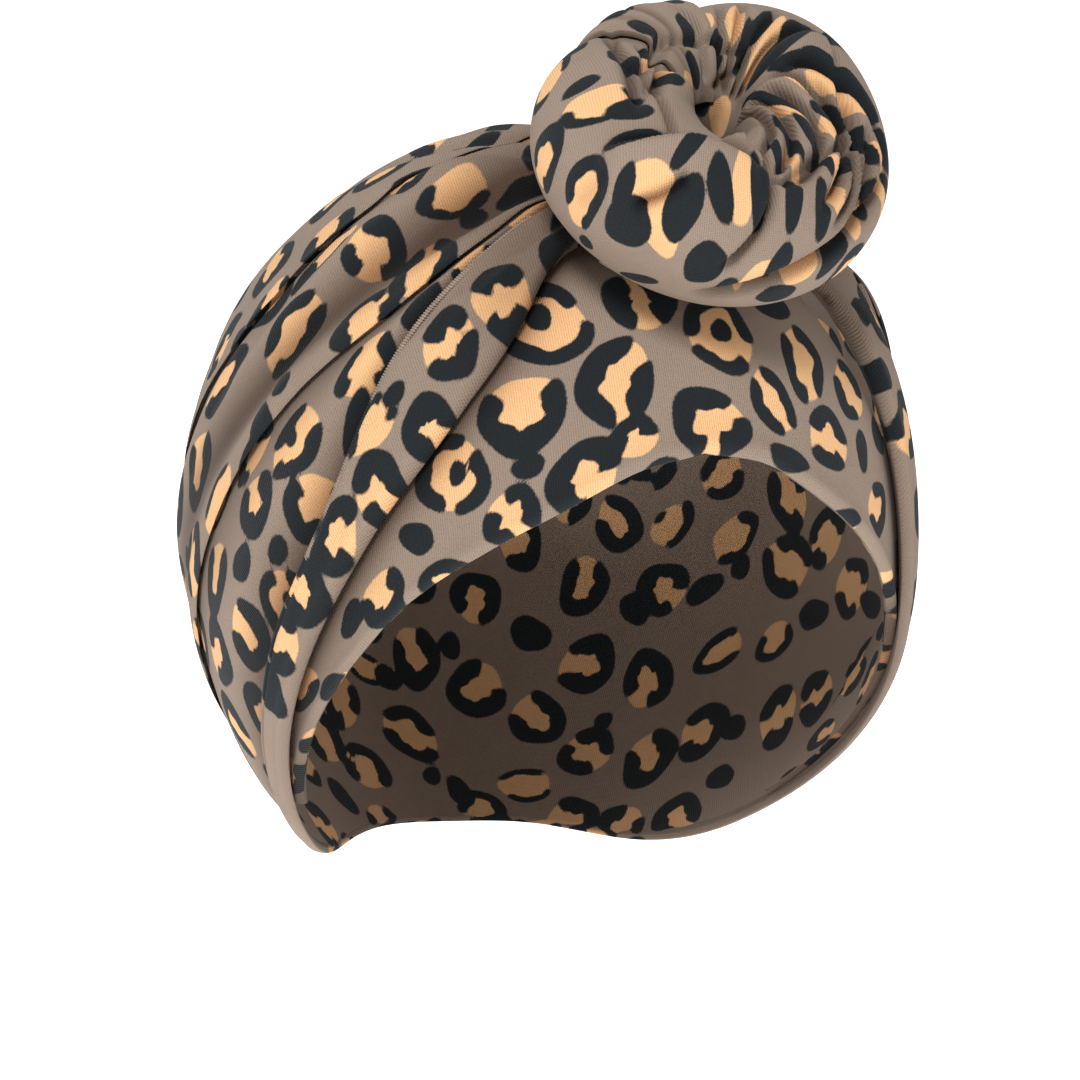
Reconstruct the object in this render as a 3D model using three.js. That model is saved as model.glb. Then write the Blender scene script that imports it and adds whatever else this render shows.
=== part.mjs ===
// A pre-tied wrap headband of printed jersey, in the form it has when it is worn.
// Millimetres, +Z up, and the wearer looks along -Y, so -X is the wearer's right.
// The origin is the middle of the head at its widest level, where the band grips.
import * as THREE from "three";

// ---- driving dimensions ----
// The head inside the band: half sizes at its widest level and up to the crown, how far it reaches
// down, and the share by which it narrows there.
const HEAD = { x: 76, y: 94, z: 91.5, low: 95, taper: 0.22 };
const CLOTH = 1.8; // wall of the brow panel, two layers of jersey
const GAP = 0.4; // air between pieces that touch
const WRAP_INSIDE = CLOTH + GAP; // height of the wraps' inner face over the head
const FAN_TILT = 60; // degrees above the horizontal of the point that the folds fan out from
const WRAP_END = 118; // degrees from the fan point to the seam behind the ear
const SEAM = 0.15; // half the gap at that seam, in degrees
const NAPE_RUN_IN = 2; // degrees before that seam over which a fold's direction is read
const NAPE_PULL = 1.4; // how straight the folds run on from that seam to the nape, against their length

// ---- how finely the faces are cut ----
const WRAP_STEPS = 20;
const WRAP_SPREAD = 1.15; // above 1, the steps are closer together near the knot
const STEPS_PER_FOLD = 3;
const NAPE_STEPS = 14;
const BROW_STEPS = { along: 28, across: 7 };
const KNOT_STEPS = { round: 48, across: 27 };

// ---- folds of a side wrap, from the leading edge over the brow to the rim at the open crown ----
// A row is a line that runs from under the knot to behind the ear. At each station, in degrees away
// from the fan point, turn is its angle round that point, with 0 down the forehead and 180 over the
// crown, and lift is the height of the cloth over the head. napeDrop and napeLift are its angle
// below the horizontal and its height at the middle of the nape.
const STATIONS = [14, 26, 40, 60, 85, WRAP_END];
const FOLDS = [
  {
    name: "leading edge",
    turn: [92, 70, 63, 61.5, 60, 57],
    lift: [6, 4.4, 3.8, 3.7, 3.6, 3.6],
    napeDrop: 63,
    napeLift: 3.4,
  },
  {
    name: "leading roll",
    turn: [96, 74, 65.5, 63, 61, 58],
    lift: [8, 6.6, 5.4, 5.2, 4.9, 4.6],
    napeDrop: 60.5,
    napeLift: 4.4,
  },
  {
    name: "leading back",
    turn: [112, 92, 80.5, 68, 63.5, 59],
    lift: [8.2, 7, 5.8, 5.4, 5, 4.7],
    napeDrop: 51,
    napeLift: 4.6,
  },
  {
    name: "first tuck",
    turn: [115, 96, 83.5, 70, 65, 61],
    lift: [6, 4.4, 3.9, 3.8, 3.8, 3.8],
    napeDrop: 49,
    napeLift: 3.6,
  },
  {
    name: "low panel",
    turn: [119, 98, 87, 79, 76, 70],
    lift: [6.8, 5.2, 4.6, 4.7, 4.5, 4.3],
    napeDrop: 44,
    napeLift: 4.6,
  },
  {
    name: "second crease",
    turn: [123, 101, 90.5, 88, 86, 82.5],
    lift: [6.2, 4.6, 4.2, 4.1, 4, 3.9],
    napeDrop: 38,
    napeLift: 3.8,
  },
  {
    name: "second fold",
    turn: [127, 104, 93, 90, 88, 85],
    lift: [6.8, 5.4, 5.4, 5.2, 5, 4.7],
    napeDrop: 36,
    napeLift: 4.8,
  },
  {
    name: "valley",
    turn: [138, 116, 104, 96, 94, 93],
    lift: [5.4, 3.8, 3.9, 4.5, 4.6, 4.2],
    napeDrop: 29,
    napeLift: 3.8,
  },
  {
    name: "ridge",
    turn: [152, 136, 116, 104, 102, 105],
    lift: [8.4, 8, 6.8, 5.6, 5.2, 4.9],
    napeDrop: 23,
    napeLift: 4.9,
  },
  {
    name: "third crease",
    turn: [162, 150, 127, 110, 109, 113.5],
    lift: [7, 5.8, 5.2, 4.5, 4.3, 4.1],
    napeDrop: 17,
    napeLift: 4,
  },
  {
    name: "third fold",
    turn: [165, 153, 130, 112.5, 111.5, 116],
    lift: [7.6, 6.6, 6, 5.4, 5.1, 4.8],
    napeDrop: 14,
    napeLift: 4.8,
  },
  {
    name: "rim",
    turn: [173, 165, 152, 135, 132, 143],
    lift: [6.4, 5, 4.4, 4.2, 4, 3.8],
    napeDrop: 7,
    napeLift: 3.5,
  },
];
// On the wearer's left the leading edge bows back under the knot and the cloth stands off the head.
const LEFT_BOW = [10, 20, 12, -4, -4, 0];
const LEFT_PUFF = [0, 2.4, 3.4, 0, -0.8, -0.5];

// ---- brow panel: degrees above the horizontal of its lower edge, on the wearer's left and right,
// and of the edge under the wraps, at degrees round from the middle of the forehead ----
const BROW = [
  { round: 0, lowLeft: 31, lowRight: 31, high: 78 },
  { round: 12, lowLeft: 29.5, lowRight: 28, high: 77 },
  { round: 24, lowLeft: 24, lowRight: 21.5, high: 74 },
  { round: 34, lowLeft: 18, lowRight: 15, high: 62 },
  { round: 44, lowLeft: 9.5, lowRight: 6.5, high: 42 },
  { round: 52, lowLeft: -1, lowRight: -4, high: 26 },
  { round: 59, lowLeft: -12, lowRight: -14.5, high: 12 },
  { round: 66, lowLeft: -24, lowRight: -26, high: -2 },
  { round: 72, lowLeft: -34, lowRight: -35, high: -14 },
];

// ---- knot: a twisted coil with a dimple in the middle ----
// Middle of the coil, and its axis in degrees over the horizontal.
const KNOT = { x: 4.5, y: -52, z: 102.5, tilt: 60 };
// Section of the coil from the middle of its underside to the bottom of the dimple.
const COIL = [
  { out: 0, up: -23 },
  { out: 11, up: -23 },
  { out: 23, up: -20 },
  { out: 33.5, up: -10 },
  { out: 36.5, up: 1 },
  { out: 33, up: 10.5 },
  { out: 24, up: 15.5 },
  { out: 14, up: 14 },
  { out: 7.5, up: 8 },
  { out: 4.5, up: 1 },
  { out: 2.5, up: -4 },
  { out: 0, up: -6 },
];
const COIL_READ = 0.05; // rows either side over which the section's slope is read
// The coil's dents start at a share of the section from the underside, reach full depth over another
// share, and fade out towards the axis within a radius in mm.
const DENT = { from: 0.12, over: 0.2, radius: 10 };
const SWIRL = 1.6; // how much further than its twist a crease would turn on the underside
// The knot sits on the cloth under it. reach is how many degrees a fold's height carries sideways,
// step the spacing in fold rows at which that cloth is read, and room the air left over it, in mm.
const SEAT = { reach: 8, step: 0.5, room: 0.6 };
// Lobes where the strand is fatter, at degrees clockwise from the crown side.
const LOBES = [
  { at: 46, more: 4.4, spread: 38 },
  { at: 262, more: 1.6, spread: 40 },
  { at: 316, more: -3, spread: 18 },
  { at: 345, more: -1.5, spread: 20 },
];
// Creases that spiral from the dimple to the rim. start is the angle at the dimple, clockwise from
// the crown side, twist is how far it turns on its way out, both in degrees, and depth and width are mm.
const CREASES = [
  { start: 350, twist: -10, depth: 3, width: 4.4 },
  { start: 15, twist: 6, depth: 2.2, width: 3.8 },
  { start: 45, twist: 40, depth: 3.2, width: 4.6 },
  { start: 80, twist: 45, depth: 2.4, width: 4 },
  { start: 105, twist: 45, depth: 2.4, width: 4 },
  { start: 130, twist: 45, depth: 3.2, width: 4.4 },
  { start: 235, twist: 40, depth: 1.8, width: 5 },
  { start: 290, twist: 15, depth: 2.6, width: 4.6 },
];
// The tucked-in tail lies on the coil at the wearer's right of the dimple. It spans whole steps of
// the coil's own faces, so the two lie face to face.
const TAIL = { from: 42, to: 48, start: 9, end: 20, thick: 2.6, edge: 1.2, gap: 0.6 };
const TAIL_RIM = 0.02; // share of the tail's width at which its rounded edge starts

// ---- colours ----
const JERSEY = 0x7d6a5f;

const rad = THREE.MathUtils.degToRad;
const lerp = THREE.MathUtils.lerp;
const clamp = THREE.MathUtils.clamp;
const deg = THREE.MathUtils.radToDeg;
const smooth = (t) => THREE.MathUtils.smoothstep(t, 0, 1);
const column = (table, key) => table.map((row) => row[key]);
const rowNumbers = (table) => table.map((row, k) => k);

// A smooth curve through the values at the stations, read at one place.
function along(stations, values, at) {
  const last = stations.length - 1;
  let i = 0;
  while (i < last - 1 && at > stations[i + 1]) i++;
  const slope = (k) => {
    const a = Math.max(k - 1, 0);
    const b = Math.min(k + 1, last);
    return (values[b] - values[a]) / (stations[b] - stations[a]);
  };
  const span = stations[i + 1] - stations[i];
  const t = (at - stations[i]) / span;
  const t2 = t * t;
  const t3 = t2 * t;
  return (
    (2 * t3 - 3 * t2 + 1) * values[i] +
    (t3 - 2 * t2 + t) * span * slope(i) +
    (3 * t2 - 2 * t3) * values[i + 1] +
    (t3 - t2) * span * slope(i + 1)
  );
}

// Direction at away degrees from the fan point and turn degrees round it. side is -1 on the wearer's
// right and 1 on the left.
const FAN = new THREE.Vector3(0, -Math.cos(rad(FAN_TILT)), Math.sin(rad(FAN_TILT)));
const FAN_DOWN = new THREE.Vector3(0, -Math.sin(rad(FAN_TILT)), -Math.cos(rad(FAN_TILT)));
function fanDirection(away, turn, side) {
  const d = FAN.clone().multiplyScalar(Math.cos(rad(away)));
  d.addScaledVector(FAN_DOWN, Math.sin(rad(away)) * Math.cos(rad(turn)));
  d.x += side * Math.sin(rad(away)) * Math.sin(rad(turn));
  return d;
}

// Direction at degrees round from the middle of the forehead and degrees above the horizontal.
function levelDirection(round, above) {
  const level = Math.cos(rad(above));
  const x = Math.sin(rad(round)) * level;
  const y = -Math.cos(rad(round)) * level;
  return new THREE.Vector3(x, y, Math.sin(rad(above)));
}

// The point of the head in a direction, raised by lift along the head's own normal.
function onHead(direction, lift) {
  const below = Math.min(direction.z, 0);
  const width = 1 - HEAD.taper * below * below;
  const height = below < 0 ? HEAD.low : HEAD.z;
  const { x, y, z } = direction;
  const point = new THREE.Vector3(x * HEAD.x * width, y * HEAD.y * width, z * height);
  const normal = new THREE.Vector3(x / HEAD.x, y / HEAD.y, z / height);
  return point.addScaledVector(normal.normalize(), lift);
}

// A closed wall between two faces given as functions of (i, j), with i along and j across. The
// outward side of outer(i, j) is the one from which i runs to the right and j runs up.
function wall(columns, rows, outer, inner) {
  const points = [];
  const index = [];
  const stride = rows + 1;
  const layer = (columns + 1) * stride;
  for (const face of [outer, inner]) {
    for (let i = 0; i <= columns; i++) {
      for (let j = 0; j <= rows; j++) {
        points.push(...face(i, j).toArray());
      }
    }
  }
  const quad = (a, b, c, d) => index.push(a, b, c, a, c, d);
  for (let i = 0; i < columns; i++) {
    for (let j = 0; j < rows; j++) {
      const a = i * stride + j;
      quad(a, a + stride, a + stride + 1, a + 1);
      quad(layer + a, layer + a + 1, layer + a + stride + 1, layer + a + stride);
    }
    const low = i * stride;
    const high = low + rows;
    quad(layer + low, layer + low + stride, low + stride, low);
    quad(high, high + stride, layer + high + stride, layer + high);
  }
  for (let j = 0; j < rows; j++) {
    const end = columns * stride + j;
    quad(j, j + 1, layer + j + 1, layer + j);
    quad(layer + end, layer + end + 1, end + 1, end);
  }
  const geometry = new THREE.BufferGeometry();
  geometry.setAttribute("position", new THREE.Float32BufferAttribute(points, 3));
  geometry.setIndex(index);
  geometry.computeVertexNormals();
  return geometry;
}

// ---- side wraps and nape band ----

// Turn and lift of fold line number f, which may lie between two rows, at away degrees.
function foldAt(f, away, side) {
  const left = side > 0 ? 1 : 0;
  const rows = rowNumbers(FOLDS);
  const share = 1 - f / (FOLDS.length - 1);
  const body = Math.sin(Math.PI * clamp(f / (FOLDS.length - 1), 0, 1));
  const here = (key) => FOLDS.map((row) => along(STATIONS, row[key], away));
  const turn = along(rows, here("turn"), f);
  const lift = along(rows, here("lift"), f);
  return {
    turn: turn + left * share * along(STATIONS, LEFT_BOW, away),
    lift: lift + left * body * along(STATIONS, LEFT_PUFF, away),
  };
}

const FOLD_STEPS = (FOLDS.length - 1) * STEPS_PER_FOLD;

function wrap(side) {
  const place = (i) => lerp(STATIONS[0], WRAP_END - SEAM, (i / WRAP_STEPS) ** WRAP_SPREAD);
  const face = (inside) => (i, j) => {
    const away = place(side < 0 ? WRAP_STEPS - i : i);
    const fold = foldAt(j / STEPS_PER_FOLD, away, side);
    return onHead(fanDirection(away, fold.turn, side), inside ? WRAP_INSIDE : fold.lift);
  };
  return wall(WRAP_STEPS, FOLD_STEPS, face(false), face(true));
}

// The folds run on from both seams and meet level at the middle of the nape. t goes from the
// wearer's left seam at 0 to the right seam at 1.
function napeDirection(f, t) {
  const side = t < 0.5 ? 1 : -1;
  const s = 1 - Math.abs(2 * t - 1);
  const rows = rowNumbers(FOLDS);
  const away = WRAP_END + SEAM;
  const before = WRAP_END - NAPE_RUN_IN;
  const drop = along(rows, column(FOLDS, "napeDrop"), f);
  const here = foldAt(f, away, side);
  const from = fanDirection(away, here.turn, side);
  const behind = fanDirection(before, foldAt(f, before, side).turn, side);
  const ahead = from.clone().sub(behind).normalize();
  const to = new THREE.Vector3(0, Math.cos(rad(drop)), -Math.sin(rad(drop)));
  const pull = NAPE_PULL * from.distanceTo(to);
  const s2 = s * s;
  const s3 = s2 * s;
  const d = from.clone().multiplyScalar(2 * s3 - 3 * s2 + 1);
  d.addScaledVector(ahead, (s3 - 2 * s2 + s) * pull);
  d.addScaledVector(to, 3 * s2 - 2 * s3);
  d.x -= side * (s3 - s2) * pull;
  const napeLift = along(rows, column(FOLDS, "napeLift"), f);
  return { direction: d.normalize(), lift: lerp(here.lift, napeLift, smooth(s)) };
}

function napeBand() {
  const face = (inside) => (i, j) => {
    const at = napeDirection(j / STEPS_PER_FOLD, i / NAPE_STEPS);
    return onHead(at.direction, inside ? WRAP_INSIDE : at.lift);
  };
  return wall(NAPE_STEPS, FOLD_STEPS, face(false), face(true));
}

// ---- brow panel ----

function browPanel() {
  const reach = BROW[BROW.length - 1].round;
  const rounds = column(BROW, "round");
  const face = (lift) => (i, j) => {
    const round = lerp(-reach, reach, i / BROW_STEPS.along);
    const side = column(BROW, round < 0 ? "lowRight" : "lowLeft");
    const low = along(rounds, side, Math.abs(round));
    const high = along(rounds, column(BROW, "high"), Math.abs(round));
    return onHead(levelDirection(round, lerp(low, high, j / BROW_STEPS.across)), lift);
  };
  return wall(BROW_STEPS.along, BROW_STEPS.across, face(CLOTH), face(0));
}

// ---- knot ----

const KNOT_MIDDLE = new THREE.Vector3(KNOT.x, KNOT.y, KNOT.z);
const KNOT_AXIS = new THREE.Vector3(0, -Math.cos(rad(KNOT.tilt)), Math.sin(rad(KNOT.tilt)));
const KNOT_CROWNWARD = new THREE.Vector3(0, Math.sin(rad(KNOT.tilt)), Math.cos(rad(KNOT.tilt)));

// Height over the head of what lies under the knot, read in the direction of a point.
function seatUnder(direction) {
  const away = deg(Math.acos(clamp(direction.dot(FAN), -1, 1)));
  const side = direction.x < 0 ? -1 : 1;
  const turn = deg(Math.atan2(Math.abs(direction.x), direction.dot(FAN_DOWN)));
  const at = clamp(away, STATIONS[0], WRAP_END);
  let seat = CLOTH;
  const edge = foldAt(0, at, side).turn - 2 * SEAT.reach;
  for (let f = 0; f < FOLDS.length; f += SEAT.step) {
    const fold = foldAt(f, at, side);
    const near = 1 - smooth((Math.abs(turn - fold.turn) - SEAT.reach) / SEAT.reach);
    if (turn > edge) seat = Math.max(seat, lerp(CLOTH, fold.lift, near));
  }
  const middle = FOLDS[1].lift[0];
  return lerp(middle, seat, smooth(away / STATIONS[0])) + GAP + SEAT.room;
}

// A point of the coil, round degrees clockwise from the crown side and across from 0 at the middle
// of its underside to 1 at the bottom of the dimple, raised by grow.
function coilPoint(round, across, grow) {
  const rows = rowNumbers(COIL);
  const at = across * (COIL.length - 1);
  const outs = column(COIL, "out");
  const ups = column(COIL, "up");
  const out = Math.max(along(rows, outs, at), 0);
  const up = along(rows, ups, at);
  const before = clamp(at - COIL_READ, 0, COIL.length - 1);
  const after = clamp(at + COIL_READ, 0, COIL.length - 1);
  const slope = new THREE.Vector2(
    along(rows, ups, after) - along(rows, ups, before),
    along(rows, outs, before) - along(rows, outs, after),
  ).normalize();
  let dent = 0;
  for (const crease of CREASES) {
    const centre = crease.start + crease.twist * (1 - across) * SWIRL;
    const apart = THREE.MathUtils.euclideanModulo(round - centre + 180, 360) - 180;
    const distance = (rad(apart) * out) / crease.width;
    dent += crease.depth * Math.exp(-distance * distance);
  }
  for (const lobe of LOBES) {
    const apart = THREE.MathUtils.euclideanModulo(round - lobe.at + 180, 360) - 180;
    dent -= lobe.more * Math.exp(-((apart / lobe.spread) ** 2));
  }
  const fade = smooth((across - DENT.from) / DENT.over) * smooth(out / DENT.radius);
  const raise = grow - dent * fade;
  const spoke = KNOT_CROWNWARD.clone().multiplyScalar(Math.cos(rad(round)));
  spoke.x += Math.sin(rad(round));
  const ring = out > 0 ? out + slope.x * raise : 0;
  const point = KNOT_MIDDLE.clone().addScaledVector(spoke, ring);
  point.addScaledVector(KNOT_AXIS, up + slope.y * raise);
  return aboveSeat(point);
}

// Moves a point of the knot out to the seat where it would lie under it.
function aboveSeat(point) {
  const direction = point.clone().divide(new THREE.Vector3(HEAD.x, HEAD.y, HEAD.z)).normalize();
  const seat = onHead(direction, seatUnder(direction));
  return point.dot(direction) < seat.dot(direction) ? seat : point;
}

function knotCoil() {
  const { round, across } = KNOT_STEPS;
  const points = [coilPoint(0, 0, 0), coilPoint(0, 1, 0)];
  const index = [];
  for (let i = 0; i < round; i++) {
    for (let j = 1; j < across; j++) {
      points.push(coilPoint((i / round) * 360, j / across, 0));
    }
  }
  const at = (i, j) => 2 + (i % round) * (across - 1) + j - 1;
  for (let i = 0; i < round; i++) {
    index.push(0, at(i, 1), at(i + 1, 1));
    for (let j = 1; j < across - 1; j++) {
      index.push(at(i, j), at(i + 1, j + 1), at(i + 1, j));
      index.push(at(i, j), at(i, j + 1), at(i + 1, j + 1));
    }
    index.push(1, at(i + 1, across - 1), at(i, across - 1));
  }
  const geometry = new THREE.BufferGeometry();
  const numbers = points.flatMap((point) => point.toArray());
  geometry.setAttribute("position", new THREE.Float32BufferAttribute(numbers, 3));
  geometry.setIndex(index);
  geometry.computeVertexNormals();
  return geometry;
}

function knotTail() {
  const columns = TAIL.to - TAIL.from;
  const rows = TAIL.end - TAIL.start;
  const arch = (t) => Math.sqrt(Math.sin(Math.PI * clamp(t, TAIL_RIM, 1 - TAIL_RIM)));
  const face = (inside) => (i, j) => {
    const round = ((TAIL.to - i) / KNOT_STEPS.round) * 360;
    const across = (TAIL.start + j) / KNOT_STEPS.across;
    const height = lerp(TAIL.edge, TAIL.thick, arch(i / columns) * arch(j / rows));
    return coilPoint(round, across, inside ? TAIL.gap : TAIL.gap + height);
  };
  return wall(columns, rows, face(false), face(true));
}

// ---- assembly ----

const headband = new THREE.Group();
const pieces = {
  brow_panel: browPanel(),
  wrap_right: wrap(-1),
  wrap_left: wrap(1),
  nape_band: napeBand(),
  knot_coil: knotCoil(),
  knot_tail: knotTail(),
};
for (const [name, geometry] of Object.entries(pieces)) {
  const material = new THREE.MeshStandardMaterial({ color: JERSEY, roughness: 0.85, metalness: 0 });
  const mesh = new THREE.Mesh(geometry, material);
  mesh.name = name;
  headband.add(mesh);
}

export default headband;
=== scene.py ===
import math

import bpy
import numpy as np
from mathutils import Matrix, Vector


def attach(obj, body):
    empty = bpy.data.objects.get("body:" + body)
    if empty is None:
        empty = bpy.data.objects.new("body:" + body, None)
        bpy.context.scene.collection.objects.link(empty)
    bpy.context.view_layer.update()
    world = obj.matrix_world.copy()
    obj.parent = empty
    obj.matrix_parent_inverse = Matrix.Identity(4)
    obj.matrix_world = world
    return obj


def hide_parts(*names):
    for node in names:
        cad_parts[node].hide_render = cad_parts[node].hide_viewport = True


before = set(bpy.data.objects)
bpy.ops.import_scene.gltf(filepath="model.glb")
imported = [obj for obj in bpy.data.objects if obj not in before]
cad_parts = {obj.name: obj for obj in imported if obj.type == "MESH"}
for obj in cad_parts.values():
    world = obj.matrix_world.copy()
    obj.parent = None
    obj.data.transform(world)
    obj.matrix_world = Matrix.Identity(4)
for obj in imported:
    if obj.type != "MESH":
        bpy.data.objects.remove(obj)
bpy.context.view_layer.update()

# ==== camera ====
# It looks at the middle of the head from the wearer's right and a little above, and the head
# leans in the view.
AZIMUTH = math.radians(-22)
ELEVATION = math.radians(18)
LEAN = math.radians(8)
DISTANCE = 0.700
VIEW_WIDTH = 0.2466  # what the view takes in at the middle of the head


def placed(name, data):
    """A new object of the scene."""
    made = bpy.data.objects.new(name, data)
    bpy.context.scene.collection.objects.link(made)
    return made


ahead_level = math.cos(ELEVATION)
towards = Vector((math.sin(AZIMUTH) * ahead_level, -math.cos(AZIMUTH) * ahead_level, math.sin(ELEVATION)))
level = Vector((math.cos(AZIMUTH), math.sin(AZIMUTH), 0))
upright = towards.cross(level)
across_view = math.cos(LEAN) * level + math.sin(LEAN) * upright
up_view = math.cos(LEAN) * upright - math.sin(LEAN) * level
camera_data = bpy.data.cameras.new("camera")
camera_data.lens = camera_data.sensor_width * DISTANCE / VIEW_WIDTH
camera = placed("camera", camera_data)
turned = Matrix((across_view, up_view, towards)).transposed().to_4x4()
camera.matrix_world = Matrix.Translation(towards * DISTANCE) @ turned
bpy.context.scene.camera = camera

# ==== brow panel ====
# A smooth band of doubled cotton jersey, stretched over the forehead. Its lower edge is a rolled
# fold with no stitching, and its upper part runs on under the wraps and the knot.
MM = 0.001
# The head inside: half sizes in mm, low the one below its middle, and how much it narrows there.
HEAD = {"x": 76, "y": 94, "z": 91.5, "low": 95, "taper": 0.22}
CLOTH = 1.8  # mm that the panel is thick
GAP = 0.4  # mm between it and the inner face of the wraps
BROW_MESH = 0.72  # mm between the points of the panel's mesh
BROW_CROWDING = 1.25  # power that draws the rows of the mesh towards the lower edge
BROW_EDGE = 0.3  # how thick the panel is at the edge itself
BROW_ROLL = 2.2  # mm over which the lower edge rolls under
BROW_BLUNT = 0.02  # keeps the rolled edge from closing to a point
BROW_BEAD = {"high": 0.7, "wide": 2.5}  # mm by which the rolled edge stands proud, and over which
BROW_LINING_AT = [31, 17]  # mm that the lining's print lies from the outer one
LINING_SHADE = 0.45  # how dark the inside is


def column(table, key):
    return [row[key] for row in table]


def table_of(keys, *rows):
    """One dictionary for each row. What a short row leaves out is 0."""
    return [dict(zip(keys, row + (0,) * (len(keys) - len(row)))) for row in rows]


def along(stations, values, at):
    """A smooth curve through the values at the stations, read at places. values may hold rows."""
    s = np.asarray(stations, float)
    y = np.asarray(values, float)
    at = np.asarray(at, float)
    last = len(s) - 1
    order = np.arange(last + 1)
    before, after = np.maximum(order - 1, 0), np.minimum(order + 1, last)
    wide = (-1,) + (1,) * (y.ndim - 1)
    slope = (y[after] - y[before]) / (s[after] - s[before]).reshape(wide)
    i = np.clip(np.searchsorted(s, at, side="right") - 1, 0, last - 1)
    span = (s[i + 1] - s[i]).reshape(wide)
    t = ((at - s[i]) / (s[i + 1] - s[i])).reshape(wide)
    rise = 3 * t**2 - 2 * t**3
    swing = (t**3 - 2 * t**2 + t) * slope[i] + (t**3 - t**2) * slope[i + 1]
    return (1 - rise) * y[i] + rise * y[i + 1] + span * swing


def smooth(t):
    t = np.clip(t, 0, 1)
    return t * t * (3 - 2 * t)


def mound(away, wide):
    """A soft mound of height 1 at 0, which falls off over wide."""
    return np.exp(-((away / wide) ** 2))


def unit(vectors):
    return vectors / np.linalg.norm(vectors, axis=-1, keepdims=True)


def level_direction(around, above):
    a, b = np.radians(around), np.radians(above)
    return np.stack([np.sin(a) * np.cos(b), -np.cos(a) * np.cos(b), np.sin(b)], -1)


def on_head(direction, lift):
    """The point of the head in a direction, in mm, raised by lift along the head's normal."""
    below = np.minimum(direction[..., 2], 0)
    width = 1 - HEAD["taper"] * below**2
    height = np.where(below < 0, HEAD["low"], HEAD["z"])
    half = np.stack([HEAD["x"] * width, HEAD["y"] * width, height], -1)
    normal = unit(direction / np.stack([0 * width + HEAD["x"], 0 * width + HEAD["y"], height], -1))
    return direction * half + normal * np.asarray(lift)[..., None]


BROW = table_of(  # degrees round from the middle, then degrees above the horizontal of both edges
    ("round", "low_left", "low_right", "high"),
    (0, 31, 31, 78),
    (12, 29.5, 28, 77),
    (24, 24, 21.5, 74),
    (34, 18, 15, 62),
    (44, 9.5, 6.5, 42),
    (52, -1, -4, 26),
    (59, -12, -14.5, 12),
    (66, -24, -26, -2),
    (72, -34, -35, -14),
)
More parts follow.
